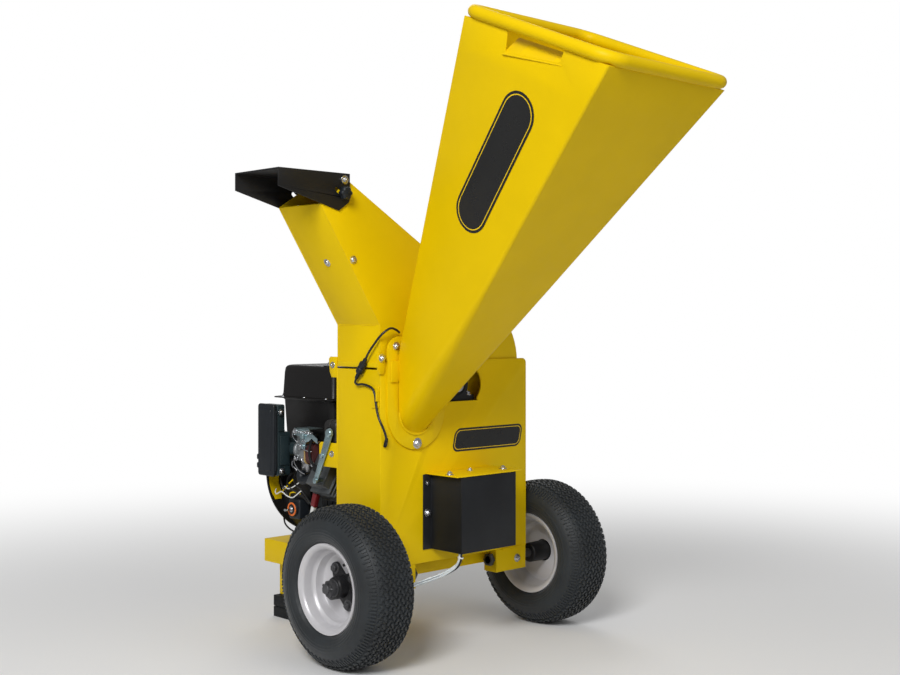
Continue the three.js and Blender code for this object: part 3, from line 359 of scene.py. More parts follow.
def bolt(position, direction, across=13, height=5.5, washer=1.5, turned=0.0, dome=True):
    """Hexagon head with a chamfered top on a washer."""
    shapes = []
    if washer:
        shapes.append(turn([(across * 0.6, -0.3), (across * 0.82, -0.3), (across * 0.86, 0.1),
                    (across * 0.86, washer - 0.3), (across * 0.82, washer), (across * 0.4, washer)], (0, 0),
                "z", 28))
    corner = across / sqrt(3)
    hexagon = [(cos(pi / 3 * k + turned), sin(pi / 3 * k + turned)) for k in range(6)]
    level = ((corner * 0.97, washer - 0.1), (corner, washer + 0.5), (corner, washer + height - 1.2),
        (corner * 0.86, washer + height))
    shapes.append(loft([[(x * r, y * r, z) for x, y in hexagon] for r, z in level]))
    if dome:
        shapes.append(turn([(across * 0.27, washer + height - 0.5), (across * 0.27, washer + height + 1.2),
                    (across * 0.2, washer + height + 2)], (0, 0), "z", 16))
    matrix = facing(position, direction)
    return [moved(shape, matrix) for shape in shapes]


def round_head(position, direction, radius=5, height=3.5, washer=0.0):
    profile = [(radius * cos(t), washer + height * sin(t)) for t in (pi / 2 * k / 7 for k in range(7))]
    base = [(radius, -0.3)]
    shapes = [turn(base + profile, (0, 0), "z", 24)]
    if washer:
        shapes.append(turn([(radius * 1.5, -0.3), (radius * 1.55, washer * 0.6), (radius * 1.5, washer)],
                (0, 0), "z", 28))
    return [moved(shape, facing(position, direction)) for shape in shapes]


def apply_modifiers(thing):
    bpy.context.view_layer.update()
    evaluated = thing.evaluated_get(bpy.context.evaluated_depsgraph_get())
    mesh = bpy.data.meshes.new_from_object(evaluated)
    thing.modifiers.clear()
    old, thing.data = thing.data, mesh
    bpy.data.meshes.remove(old)


def finish_piece(thing, material, body, bevel=0.0, segments=2, smooth=35, replaced=(), angle=28):
    if bevel:
        modifier = thing.modifiers.new("edges", "BEVEL")
        modifier.width = bevel / 1000
        modifier.segments = segments
        modifier.limit_method = "ANGLE"
        modifier.angle_limit = radians(angle)
        modifier.miter_outer = "MITER_ARC"
        apply_modifiers(thing)
    mesh = thing.data
    mesh.polygons.foreach_set("use_smooth", [True] * len(mesh.polygons))
    mesh.set_sharp_from_angle(angle=radians(smooth))
    mesh.materials.clear()
    mesh.materials.append(material)
    if replaced:
        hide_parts(*replaced)
    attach(thing, body)
    return thing


def make(name, shapes, material, body=ROOT, bevel=0.0, segments=2, smooth=35, replaced=(),
        angle=28):
    points, faces = [], []
    for shape_points, shape_faces in shapes:
        start = len(points)
        points += [place(p) for p in shape_points]
        faces += [tuple(i + start for i in face) for face in shape_faces]
    mesh = bpy.data.meshes.new(name)
    mesh.from_pydata(points, [], faces)
    work = bmesh.new()
    work.from_mesh(mesh)
    bmesh.ops.recalc_face_normals(work, faces=work.faces)
    work.to_mesh(mesh)
    work.free()
    thing = bpy.data.objects.new(name, mesh)
    scene.collection.objects.link(thing)
    return finish_piece(thing, material, body, bevel, segments, smooth,
        replaced, angle)


def fasteners(name, shapes, body=ROOT, bevel=0.3):
    return make(name, shapes, ZINC, body, bevel=bevel, angle=40)


def refined(node, name, material, bevel=1.0, segments=2, smooth=35, angle=28, flat=0.4):
    """New piece with the CAD node's shape, clean faces and rounded edges."""
    mesh = frame["nodes"][node].data.copy()
    work = bmesh.new()
    work.from_mesh(mesh)
    bmesh.ops.remove_doubles(work, verts=work.verts, dist=2e-6)
    bmesh.ops.dissolve_limit(work, angle_limit=radians(flat), verts=work.verts, edges=work.edges)
    work.to_mesh(mesh)
    work.free()
    thing = bpy.data.objects.new(name, mesh)
    scene.collection.objects.link(thing)
    return finish_piece(thing, material, frame["nodes"][node]["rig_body"], bevel,
        segments, smooth, (node,), angle)


def weld(points, size=2.6, steps=10, closed=False):
    """Weld bead with small overlapping ripples along a line."""
    path = smooth_path(points, steps, closed)
    length = sum((b - a).length for a, b in zip(path, path[1:]))
    count = max(int(length / 2.2), 8)
    spots = []
    for k in range(count + 1):
        reach = k / count * (len(path) - 1)
        i = min(int(reach), len(path) - 2)
        spots.append(path[i].lerp(path[i + 1], reach % 1))
    return sweep(spots, lambda share: size * (0.86 + 0.14 * cos(share * length / 4.4 * 2 * pi)), 8)


# ---------- hopper ----------
MOUTH_TILT = radians(22.6)
MOUTH_BACK = (-417.4, 1557.2)
MOUTH_LENGTH, MOUTH_WIDTH = 454, 413
THROAT_X, THROAT_HALF = -150, 62
THROAT_LOW, THROAT_HIGH = 571, 763
PANEL_Y = -22  # front face of the housing
MOUTH_FRONT = (MOUTH_BACK[0] - MOUTH_LENGTH * cos(MOUTH_TILT), MOUTH_BACK[1] - MOUTH_LENGTH * sin(MOUTH_TILT))


def mix2(a, b, t):
    return [p + (q - p) * t for p, q in zip(a, b)]


def depth_below_mouth(y, z):
    return (y - MOUTH_BACK[0]) * sin(MOUTH_TILT) + (MOUTH_BACK[1] - z) * cos(MOUTH_TILT)


FLARE = (MOUTH_WIDTH / 2 - THROAT_HALF) / depth_below_mouth(PANEL_Y, THROAT_HIGH)


def side_half(point):
    return MOUTH_WIDTH / 2 - FLARE * depth_below_mouth(*point)


def hopper_loop(under, back, low, high, corner, inset, turns=12):
    height = dist(under, back)
    up = [(b - u) / height for u, b in zip(under, back)]
    radius, half = max(corner - inset, 1), low - inset
    flat = [(-(high - inset), height - inset)]
    for side in (-1, 1):
        for i in range(turns + 1):
            angle = pi / 2 * i / turns
            swing = angle if side < 0 else pi / 2 - angle
            flat.append((side * (half - radius + radius * cos(swing)), inset + radius - radius * sin(swing)))
    flat.append((high - inset, height - inset))
    return [(THROAT_X + x, under[0] + up[0] * h, under[1] + up[1] * h) for x, h in flat]


def mouth_point(along, below):
    return (MOUTH_BACK[0] - along * cos(MOUTH_TILT) + below * sin(MOUTH_TILT),
            MOUTH_BACK[1] - along * sin(MOUTH_TILT) - below * cos(MOUTH_TILT))


bend_under = mix2((PANEL_Y, THROAT_LOW), MOUTH_FRONT, 0.46)
bend_back = mix2((PANEL_Y, THROAT_HIGH), MOUTH_BACK, 0.4735)
hopper_sections = [
    ((27.5, THROAT_LOW), (27.5, THROAT_HIGH), 60, THROAT_HALF, 60),
    ((PANEL_Y, THROAT_LOW), (PANEL_Y, THROAT_HIGH), 60, THROAT_HALF, 60),
    (bend_under, bend_back, side_half(bend_under), side_half(bend_back), 10),
    (MOUTH_FRONT, MOUTH_BACK, MOUTH_WIDTH / 2, MOUTH_WIDTH / 2, 7),
]


def hopper_rings(inset):
    rings = []
    for (start, end), steps in zip(zip(hopper_sections, hopper_sections[1:]), (1, 10, 6)):
        a, b = hopper_loop(*start, inset), hopper_loop(*end, inset)
        rings += [[tuple(mix2(p, q, k / steps)) for p, q in zip(a, b)] for k in range(steps)]
    return rings + [hopper_loop(*hopper_sections[-1], inset)]


outer, inner = hopper_rings(0), hopper_rings(3)
shell_points, shell_faces = loft(outer + inner[::-1], closed=True)
hopper = make("hopper_sheet", [(shell_points, shell_faces)], YELLOW)
cutter = make("notch_cutter", [prism([mouth_point(146, -20), mouth_point(150, 40), mouth_point(156, 46),
                mouth_point(314, 29), mouth_point(320, 24), mouth_point(328, -20)], "x", -600, 300)], YELLOW)
cutting = hopper.modifiers.new("notch", "BOOLEAN")
cutting.object = cutter
cutting.solver = "EXACT"
apply_modifiers(hopper)
bpy.data.objects.remove(cutter)
finish_piece(hopper, YELLOW, ROOT, bevel=0.8, replaced=("hopper_shell",), angle=50)

half_x, half_l, corner = MOUTH_WIDTH / 2, MOUTH_LENGTH / 2, 46
bar_path = []
for sx, sl, quarter in ((1, 1, 0), (-1, 1, 1), (-1, -1, 2), (1, -1, 3)):
    for k in range(11):
        t = (quarter + k / 10) * pi / 2
        u = sx * (half_x - corner) + corner * cos(t)
        y, z = mouth_point(MOUTH_LENGTH / 2 + sl * (half_l - corner) + corner * sin(t), -15.3)
        bar_path.append((THROAT_X + u, y, z))
make("rim_bar", [sweep(bar_path, 15, 24, closed=True)], YELLOW, replaced=("hopper_rim_bar",))

seams = []
for side in (-1, 1):
    edge = THROAT_X + side * (MOUTH_WIDTH / 2 - 3)
    for low, high in ((44, 132), (340, 410)):
        y0, z0 = mouth_point(low, 0)
        y1, z1 = mouth_point(high, 0)
        seams.append(weld([(edge, y0, z0), (edge, y1, z1)], 3.2, 2))
for along in (3, MOUTH_LENGTH - 3):
    y, z = mouth_point(along, 0)
    seams.append(weld([(THROAT_X - 160, y, z), (THROAT_X + 160, y, z)], 3.2, 2))
ring = hopper_loop(*hopper_sections[1], -1.0)[1:-1]
seams.append(weld([(x, y - 6.2, z) for x, y, z in ring], 3.0, 3))
make("hopper_welds", seams, YELLOW)

# pocket plates behind the hand notches, leaving a slit below each
pockets = []
for side in (-1, 1):
    wall = THROAT_X + side * (MOUTH_WIDTH / 2 - 3.4)
    inner_x = wall - side * 34
    outline = [mouth_point(140, 4), mouth_point(140, 62), mouth_point(334, 40), mouth_point(340, 4)]
    front = [(wall - side * 2, *p) for p in (mouth_point(146, 54), mouth_point(326, 34))]
    back = [(inner_x, *p) for p in (mouth_point(320, 8), mouth_point(152, 10))]
    lower = [Vector(p) for p in front]
    upper = [Vector(p) for p in back]
    quad = [lower[0], lower[1], upper[0], upper[1]]
    normal = (lower[1] - lower[0]).cross(upper[1] - lower[0]).normalized() * 2.4
    pockets.append(([tuple(p) for p in quad] + [tuple(p + normal) for p in quad],
            [(3, 2, 1, 0), (4, 5, 6, 7), (0, 1, 5, 4), (1, 2, 6, 5), (2, 3, 7, 6), (3, 0, 4, 7)]))
make("notch_pockets", pockets, YELLOW, bevel=0.6)


def on_left_face(share_back, along):
    """Point on the hopper's left face: shares from the front fold to the back edge and from bend to mouth."""
    front = mix2((THROAT_X - side_half(bend_under), *bend_under), (THROAT_X - MOUTH_WIDTH / 2, *MOUTH_FRONT),
        along)
    back = mix2((THROAT_X - side_half(bend_back), *bend_back), (THROAT_X - MOUTH_WIDTH / 2, *MOUTH_BACK),
        along)
    return Vector(mix2(front, back, share_back))


def band(name, base, along, across, length, width, lift, lean=0.0, radius=None, material=DECAL, thick=0.5,
        hole=0.0):
    """Thin raised film with round ends on a flat face; base is its middle, lift the face's outward normal."""
    radius = radius if radius is not None else width / 2 - 0.5
    outline = round_rect(-length / 2, length / 2, -width / 2, width / 2, radius, 8)
    outline = [(u + lean * v, v) for u, v in outline]

    def solid(points, low, high):
        return [[tuple(base + along * u + across * v + lift * level) for u, v in points]
            for level in (low, high)]
    if not hole:
        return make(name, [loft(solid(outline, 0.15, 0.15 + thick))], material)
    shrink = [(u * (1 - 2 * hole / length), v * (1 - 2 * hole / width)) for u, v in outline]
    low, high = solid(outline, 0.15, 0.15 + thick)
    in_low, in_high = solid(shrink, 0.15, 0.15 + thick)
    return make(name, [loft([low, high, in_high, in_low], closed=True)], material)


low_end, high_end = on_left_face(0.5, 0.10), on_left_face(0.40, 0.775)
face_along = (high_end - low_end).normalized()
face_out = (on_left_face(1, 0.5) - on_left_face(0, 0.5)).cross(face_along).normalized()
if face_out.x > 0:
    face_out = -face_out
face_across = face_out.cross(face_along).normalized()
decal_middle = (low_end + high_end) / 2
decal_length = (high_end - low_end).length
band("hopper_decal", decal_middle, face_along, face_across, decal_length, 108, face_out, radius=52)
band("hopper_decal_line", decal_middle, face_along, face_across, decal_length - 13, 95, face_out, radius=46,
     material=DECAL_LINE, thick=0.8, hole=2.2)
panel = (Vector((118, PANEL_Y, 545)), Vector((1, 0, 0)), Vector((0, 0, 1)))
front = Vector((0, -1, 0))
band("panel_decal", *panel, 262, 62, front, lean=0.22, radius=20)
band("panel_decal_line", *panel, 252, 52, front, lean=0.22, radius=15.5, material=DECAL_LINE, thick=0.8,
    hole=1.8)

# ---------- flange, hooks and bolts on the front ----------
refined("hopper_flange", "throat_flange", YELLOW, bevel=1.2)
hooks = [
    prism([(-241, 708), (-219, 708), (-207, 722), (-207, 762), (-241, 762)], "y", -32, -27.3),
    prism([(-282, 741), (-277, 729), (-263, 729), (-258, 741), (-258, 782), (-282, 782)], "y", -26.5, -22.2),
]
make("front_hooks", hooks, YELLOW, bevel=1.0)
front_bolts = bolt((-148.5, -27.0, 546.4), (0, -1, 0), 17, 7) + bolt((-268, -26.4, 770), (0, -1, 0), 13, 6)
front_bolts += bolt((-221, -26.9, 800), (0, -1, 0), 13, 5) + bolt((-79, -26.9, 800), (0, -1, 0), 13, 5)
front_bolts += round_head((-353.7, -16.8, 1017), (0, -1, 0), 7, 5, 1.2)
fasteners("front_bolts", front_bolts)

# ---------- sheet metal that keeps its CAD shape ----------
for node, name, edge in (("lower_housing", "housing_panels", 1.6),
        ("housing_back_plate", "housing_rear_sheet", 1.2), ("rotor_bulkhead", "inner_wall", 1.0),
        ("rotor_trough", "trough_sheet", 0.8), ("casing_front_plate", "casing_front_sheet", 1.2),
        ("casing_back_plate", "casing_rear_sheet", 1.2), ("casing_wrap", "casing_wrap_sheet", 0.8),
        ("chute_wall", "chute_sheet", 1.0), ("axle_bracket_left", "left_axle_block", 1.5),
        ("axle_bracket_right", "right_axle_block", 1.5), ("chassis_tray", "tray_pressing", 1.5),
        ("rear_leg_left", "left_leg", 2.5), ("rear_leg_right", "right_leg", 2.5)):
    refined(node, name, YELLOW, bevel=edge)
refined("deflector_hood", "hood_pressing", BLACK, bevel=1.0)
refined("belt_guard", "belt_cover", BLACK, bevel=3.0, segments=3)
refined("battery_box", "battery_tray", BATTERY, bevel=1.0)
refined("battery_lid", "battery_strap_plate", YELLOW, bevel=0.8)
for node, name in (("foot_block_left", "left_foot"), ("foot_block_right", "right_foot")):
    refined(node, name, RUBBER, bevel=2.0, segments=3)
for node, name in (("front_bearing", "front_bearing_block"), ("rear_bearing", "rear_bearing_block")):
    refined(node, name, BLACK, bevel=1.5)
for node, name in (("anvil_knife", "anvil"), ("chipper_knife_1", "knife_one"),
        ("chipper_knife_2", "knife_two"), ("rotor_disc", "rotor_plate"), ("rotor_shaft", "rotor_axle")):
    refined(node, name, STEEL, bevel=0.8)
refined("battery", "battery_block", PLASTIC, bevel=3.0, segments=3)
refined("drive_belt", "belt_loop", RUBBER, bevel=1.5)


# ---------- wheels ----------
HALF_TRACK, AXLE_HEIGHT = 363, 203
STUD_CIRCLE = 50


def tyre_profile():
    """Outer curve of the carcass from the crown to the bead, as (across, radius)."""
    return [(0, 198), (20, 197.6), (36, 196), (48, 192), (58, 185), (66, 176), (72.5, 165), (77, 152),
        (78.5, 145), (78, 138), (75, 128), (70.5, 120.5), (64.5, 115.5), (60, 113.6), (57, 110)]


def build_wheel(name, sign, turned_by):
    body = f"{name}_wheel"
    x0, z0 = sign * HALF_TRACK, AXLE_HEIGHT
    curve = [Vector((0, p[0], p[1])) for p in tyre_profile()]
    fine = smooth_path(curve, 4)
    half = [(p.y, p.z) for p in fine]
    ribbed = []
    for across, radius in half:
        groove = 0.55 * sin((radius - 120) * 0.9) if 122 < radius < 160 else 0.0
        ribbed.append((across + groove, radius))
    ring_out = ribbed + [(54, 106), (48, 105)]
    ring_in = [(52, 112), (66, 124), (70, 145), (62, 168), (45, 184), (20, 190), (0, 190)]
    right = [(r, x0 + a) for a, r in ring_out]
    left = [(r, x0 - a) for a, r in ring_out]
    inner_right = [(r, x0 + a) for a, r in ring_in]
    inner_left = [(r, x0 - a) for a, r in ring_in][:-1]
    profile = left[::-1] + right[1:] + inner_right + inner_left[::-1]
    shapes = [turn(profile, (0, z0), "x", 128, closed=True)]

    lengths = [0.0]
    for a, b in zip(half, half[1:]):
        lengths.append(lengths[-1] + dist(a, b))

    def on_crown(s):
        """Point and normal on the tread at signed arc length s from the crown."""
        d = min(abs(s), lengths[-1] - 0.01)
        i = max(k for k in range(len(lengths) - 1) if lengths[k] <= d)
        t = (d - lengths[i]) / (lengths[i + 1] - lengths[i])
        across, radius = mix2(half[i], half[i + 1], t)
        da, dr = half[i + 1][0] - half[i][0], half[i + 1][1] - half[i][1]
        size = hypot(da, dr)
        return copysign(across, s), radius, copysign(-dr / size, s), da / size

    def lug(outline, angle, height):
        rings = []
        for level, grow in ((-2.0, 1.06), (height - 0.8, 1.0), (height, 0.86)):
            ring = []
            cu = sum(u for u, _ in outline) / len(outline)
            cs = sum(s for _, s in outline) / len(outline)
            for u, s in outline:
                u, s = cu + (u - cu) * grow, cs + (s - cs) * grow
                across, radius, na, nr = on_crown(s)
                swing = angle + u / 200
                reach = radius + nr * level
                ring.append((x0 + across + na * level, reach * cos(swing), z0 + reach * sin(swing)))
            rings.append(ring)
        return loft(rings)

    rows = 9
    pitch = 12.4
    blocks = 66
    zig = [(-6.6, -4.6), (-0.8, -4.6), (1.6, -0.6), (6.6, -0.6), (6.6, 4.6), (0.8, 4.6), (-1.6, 0.6),
        (-6.6, 0.6)]
    for row in range(rows):
        s0 = (row - (rows - 1) / 2) * pitch
        for k in range(blocks):
            angle = 2 * pi * (k + 0.5 * (row % 2)) / blocks
            flip = 1 if row % 2 else -1
            shapes.append(lug([(u * 1.02, s0 + flip * v * 1.02) for u, v in zig][::flip], angle, 4.9))
    for edge in (-1, 1):
        for k in range(2 * blocks):
            angle = 2 * pi * (k + 0.25) / (2 * blocks)
            long = 20 if k % 2 else 13
            outline = [(-2.9, edge * 59), (2.9, edge * 59), (2.5, edge * (59 + long)),
                (-2.5, edge * (59 + long))]
            shapes.append(lug(outline, angle, 3.2))
    make(f"{name}_tyre", shapes, TYRE, body, smooth=38, replaced=(f"tyre_{name}",))

    def flat_side(a):
        return x0 + sign * a
    rim = [(31, 2.0), (68, 2.0), (76, -1.5), (80, -4), (84.5, -8), (86, -22), (90, -36), (95, -42), (97, -56),
        (100, -61), (108, -65.6), (112, -66), (113.5, -63), (111, -61), (105, -58), (101, -52), (99, -40),
        (93, -30), (90, -18), (89.5, 0), (90, 18), (93, 24), (99, 30), (101, 52), (105, 58), (111, 61),
        (113.5, 63), (112, 66), (108, 65.6), (100, 61), (97, 56), (96, 38), (92.5, 31.5), (87.5, 28),
        (85.8, 22), (84.6, 14), (81, 8.5), (76, 6.2), (68, 5.2), (31, 5.2)]
    shapes = [turn([(r, flat_side(a)) for r, a in rim], (0, z0), "x", 96, closed=True)]
    for k in range(4):
        angle = pi / 4 + pi / 2 * k + turned_by
        cy, cz = STUD_CIRCLE * cos(angle), z0 + STUD_CIRCLE * sin(angle)
        shapes.append(turn([(r, flat_side(a)) for r, a in ((9, 5), (13, 5), (12.5, 6.1), (9.5, 6.1))],
                (cy, cz), "x", 24, closed=True))
    make(f"{name}_rim", shapes, RIM, body, smooth=30, replaced=(f"rim_{name}",))

    stem = [(flat_side(7), 76 * cos(2.1), z0 + 76 * sin(2.1)),
        (flat_side(24), 74 * cos(2.1), z0 + 74 * sin(2.1)), (flat_side(38), 70 * cos(2.1), z0
            + 70 * sin(2.1))]
    make(f"{name}_valve", [sweep(smooth_path(stem, 4), lambda share: 4.6 - 1.3 * share, 12)], RUBBER, body)

    lobes = []
    for k in range(4):
        angle = pi / 2 * k + pi / 4 + turned_by
        lobes += [(STUD_CIRCLE * cos(angle) + 15 * cos(angle + t),
                z0 + STUD_CIRCLE * sin(angle) + 15 * sin(angle + t))
            for t in (-1.15 + 2.3 * j / 10 for j in range(11))]
        notch = angle + pi / 4
        lobes.append((33 * cos(notch), z0 + 33 * sin(notch)))
    face_a, face_b = sorted((flat_side(6.3), flat_side(14.5)))
    shapes = [prism(lobes, "x", face_a, face_b)]
    barrel = [(13.1, -62), (24, -62), (27, -59), (28, -20), (28, 22), (27, 36), (24, 40), (16, 40.5),
        (13.1, 40.5)]
    shapes.append(turn([(r, flat_side(a)) for r, a in barrel], (0, z0), "x", 48, closed=True))
    make(f"{name}_hub", shapes, BLACK, body, bevel=1.2, segments=3, replaced=(f"hub_{name}",))
    nuts = []
    for k in range(4):
        angle = pi / 2 * k + pi / 4 + turned_by
        nuts += bolt((flat_side(14.4), STUD_CIRCLE * cos(angle), z0 + STUD_CIRCLE * sin(angle)), (sign, 0, 0),
            17, 8, turned=k)
    make(f"{name}_hub_bolts", nuts, IRON, body, bevel=0.4, angle=40)

    # fixed axle with a castle nut and a split pin
    corner = 18 / cos(pi / 6)
    hexagon = [(corner * cos(pi / 3 * k), z0 + corner * sin(pi / 3 * k)) for k in range(6)]
    nut_from, nut_to = sorted((flat_side(43), flat_side(57)))
    tab = (nut_from, nut_to - 13) if sign < 0 else (nut_from + 13, nut_to)
    shapes = [prism(hexagon, "x", nut_from, nut_to), rod("x", (0, z0), 12.4, *sorted((sign * 138,
                    flat_side(67))), soft=1.5), rod("x", (0, z0), 22, *sorted((flat_side(40.8),
                    flat_side(43))), n=40)]
    for k in range(6):
        angle = pi / 3 * k + pi / 6
        cy, cz = 14.5 * cos(angle), z0 + 14.5 * sin(angle)
        shapes.append(moved(slab(*tab, -3.6, 3.6, -4.2, 4.2),
                Matrix.Translation((sign * 5.2, cy, cz)) @ Matrix.Rotation(angle + pi / 2, 4, "X")))
    shapes.append(prism([(18 * cos(pi / 3 * k), z0 + 18 * sin(pi / 3 * k)) for k in range(6)], "x",
            *sorted((sign * 138, sign * 149.7))))
    make(f"{name}_axle", shapes, IRON, ROOT, bevel=0.7, replaced=(f"stub_axle_{name}",))
    pin = smooth_path([(flat_side(61), -20, z0 + 3), (flat_side(61), 0, z0 + 1), (flat_side(61), 17, z0 - 1),
            (flat_side(58), 22, z0 - 8)], 5)
    make(f"{name}_split_pin", [sweep(pin, 1.8, 10)], ZINC, ROOT)


build_wheel("left", -1, 0.25)
build_wheel("right", 1, 0.7)


# ---------- engine ----------
CRANK = (-40, 366)
refined("engine_crankcase", "crankcase", ENGINE, bevel=4.0, segments=3, angle=20)
refined("engine_cylinder", "cylinder_fins", ENGINE, bevel=0.8)
ribs = [slab(-153, -149, 236 + 22 * k, 240 + 22 * k, 246, 400) for k in range(8)]
ribs += [slab(-153.5, -149, 230, 398, z, z + 5) for z in (262, 300, 338)]
make("crankcase_ribs", ribs, ENGINE, bevel=1.2)
case_bolts = []
for x, z in ((-132, 250), (-132, 300), (-132, 372), (-84, 440), (-20, 452), (30, 452), (72, 410), (74, 330),
        (74, 262)):
    case_bolts += bolt((x, 228.2, z), (0, -1, 0), 10, 5)
for x in (-156, 90):
    for y in (262, 366):
        case_bolts += bolt((x, y, 246), (0, 0, 1), 13, 7)
case_bolts += bolt((-150.4, 250, 262), (-1, 0, 0), 17, 8) + bolt((-153, 380, 300), (-1, 0, 0), 14, 6)
fasteners("crankcase_bolts", case_bolts)

# fan housing, recoil starter with open slots, rope and grip
fan_back, recoil_front, recoil_back = 530.3, 530.6, 556.6
refined("fan_cover", "fan_housing", BLACK, bevel=4.0, segments=3, angle=40)
circle = [(98, recoil_front), (98, recoil_back - 7), (95.5, recoil_back - 2), (90, recoil_back),
    (82, recoil_back), (77, recoil_back - 3), (76, recoil_back - 6), (76, recoil_front)]
shapes = [turn(circle, (CRANK[0], CRANK[1]), "y", 96, closed=True)]
shapes.append(turn([(30, recoil_front), (34, recoil_back - 8), (31, recoil_back - 3), (24, recoil_back - 1),
            (10, recoil_back - 0.5)], CRANK, "y", 64))
for k in range(18):
    spoke = soft_box(28, 80, recoil_back - 16, recoil_back - 3.5, -2.6, 2.6, 1.2, 0.9, "x", 2)
    shapes.append(moved(spoke, Matrix.Translation((CRANK[0], 0, CRANK[1])) @ Matrix.Rotation(radians(20 * k),
                4, "Y")))
shapes.append(turn([(77, recoil_front), (77, recoil_front + 2), (6, recoil_front + 2), (6, recoil_front)],
        CRANK, "y", 64, closed=True))
shapes.append(soft_box(-144, -110, recoil_front, recoil_back - 1, 410, 438, 5, 3, "x"))
shapes.append(soft_box(-125, -60, recoil_front, recoil_back - 3, 406, 432, 6, 3, "x"))
make("recoil_housing", shapes, BLACK, smooth=30, replaced=("recoil_starter",))
recoil_screws = []
for k in range(6):
    angle = radians(60 * k + 30)
    recoil_screws += bolt((CRANK[0] + 87 * cos(angle), recoil_back - 0.5, CRANK[1] + 87 * sin(angle)),
        (0, 1, 0), 8, 3.5, 1)
for k in range(5):
    angle = radians(72 * k + 10)
    recoil_screws += bolt((CRANK[0] + 118 * cos(angle), fan_back - 0.5, CRANK[1] + 118 * sin(angle)),
        (0, 1, 0), 10, 4.5, 1.2)
fasteners("recoil_screws", recoil_screws)
grip_mid = (recoil_front + recoil_back) / 2
grip = [soft_box(-168, -152, grip_mid - 9, grip_mid + 9, 388, 460, 7, 7, "z"),
        turn([(9, -154), (8, -149), (6, -146), (5.4, -144.6)], (grip_mid, 424), "x", 24)]
make("rope_handle", grip, PLASTIC, "rope_grip", replaced=("starter_grip",))
rope = make("starter_rope", [sweep([(-128 - k, grip_mid, 424) for k in range(0, 25)], 2.1, 10)], RUBBER, ROOT)
rope.parent = None
rope.matrix_world = Matrix.Identity(4)
del rope["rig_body"]
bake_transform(rope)

# fuel tank with a seam flange, metal neck and cap
levels = ((517, 36, 14), (518.6, 29, 16), (523, 26, 18), (532, 25, 19), (636, 20, 19), (640.6, 17, 18),
    (642.4, 1, 12), (643.2, 0.2, 12), (645, 0.2, 12), (645.8, 1, 12), (648, 16, 14), (656, 18, 15),
    (716, 21, 15), (728, 22.5, 15), (733.5, 25, 16), (736.6, 29, 18), (738, 36, 20))
rings = [[(x, y, z) for x, y in round_rect(-186 + i, 126 - i, 282 + i, 560 - i, r, 8)] for z, i, r in levels]
tank = [loft(rings)]
for sx in (-1, 1):
    for sy in (-1, 1):
        x, y = -30 + sx * 60, 354 + sy * 26
        tank.append(soft_box(x - 12, x + 12, y - 12, y + 12, 464.4, 519, 2, 1.5))
make("tank_shell", tank, TANK, smooth=32, replaced=("fuel_tank",))
make("tank_neck", [turn([(23.7, 734), (23.7, 739.5), (27.5, 739.8), (27.5, 741.5), (23.7, 742), (22.5, 744.8),
                (20.5, 744.8), (20.5, 734)], (-50, 350), "z", 48, closed=True)], ZINC)


def cap_ring(level, size, ribbed=True):
    """Ring of the filler cap; the ribs that the fingers hold stand on its outer wall."""
    reach = [size + (0.9 if ribbed and k % 4 < 2 and 739 < level < 760 else 0) for k in range(120)]
    return [(-50 + r * cos(pi * k / 60), 350 + r * sin(pi * k / 60), level) for k, r in enumerate(reach)]


knurl = [cap_ring(level, size) for level, size in (
    (738.6, 32.6), (740, 33.8), (757, 33.8), (761, 32.2), (763, 28), (763.6, 22))]
inner_wall = [cap_ring(level, 28.6, ribbed=False) for level in (745.6, 738.6)]
cap = [loft(knurl[1:]), loft([inner_wall[1], knurl[0], knurl[1], inner_wall[0]], closed=True)]
cap.append(soft_box(-74, -26, 345, 355, 762, 767.5, 4.5, 2))
make("tank_lug", [soft_box(-158, -132, 326, 360, 737.6, 740.4, 4, 1, "z", 4)], CAST)
make("filler_cap_lid", cap, PLASTIC, "filler_cap", smooth=32, replaced=("fuel_cap",))
tank_bolts = []
for x in (-176, 116):
    for y in (320, 420, 522):
        tank_bolts += round_head((x, y, 645.4), (0, 0, 1), 4.5, 3, 1)
tank_bolts += bolt((-150, 334, 740), (0, 0, 1), 11, 7, 2) + bolt((-140, 352, 740), (0, 0, 1), 9, 5, 2)
make("tank_seam_screws", tank_bolts, ZINC)

# air cleaner: cover on the discharge side, base plate, screws and clips
cover = [soft_box(-262, -249.5, 449.5, 527, 426, 630, 9, 4.5, "x"),
    soft_box(-256, -250, 447.6, 452, 444, 612, 2, 1.2, "x"), soft_box(-263.4, -250, 522, 530, 446, 462, 4, 3,
        "x"), soft_box(-263.4, -250, 522, 530, 470, 486, 4, 3, "x"),
    soft_box(-264, -258, 462, 515, 440, 616, 8, 2.5, "x")]
make("air_cleaner_cover", cover, PLASTIC, replaced=("air_cleaner",))
base = [soft_box(-248, -222, 450, 526, 428, 628, 6, 3, "x"), soft_box(-249.6, -247, 452, 524, 430, 626, 6,
        0.5, "x"), soft_box(-247, -203, 449.6, 524, 426.5, 550, 6, 3, "x"),
    soft_box(-246, -224, 446.8, 451, 553, 556, 1.5, 1, "x"), soft_box(-240, -210, 446.4, 451, 456, 540, 3,
        1.5, "x"), soft_box(-246, -232, 443, 452, 597, 617, 4, 2.5, "y"),
    soft_box(-247, -229, 443, 452, 431, 450, 4, 2.5, "y"), soft_box(-220, -170, 464, 508, 470, 530, 8, 4,
        "y"), rod("y", (-190, 500), 20, 424, 466, 40, 2)]
make("air_cleaner_base", base, TEAL)
screws = round_head((-240, 443, 607), (0, -1, 0), 6, 4, 1.5) + round_head((-238, 443, 441), (0, -1, 0), 6, 4,
    1.5)
fasteners("air_cleaner_screws", screws)

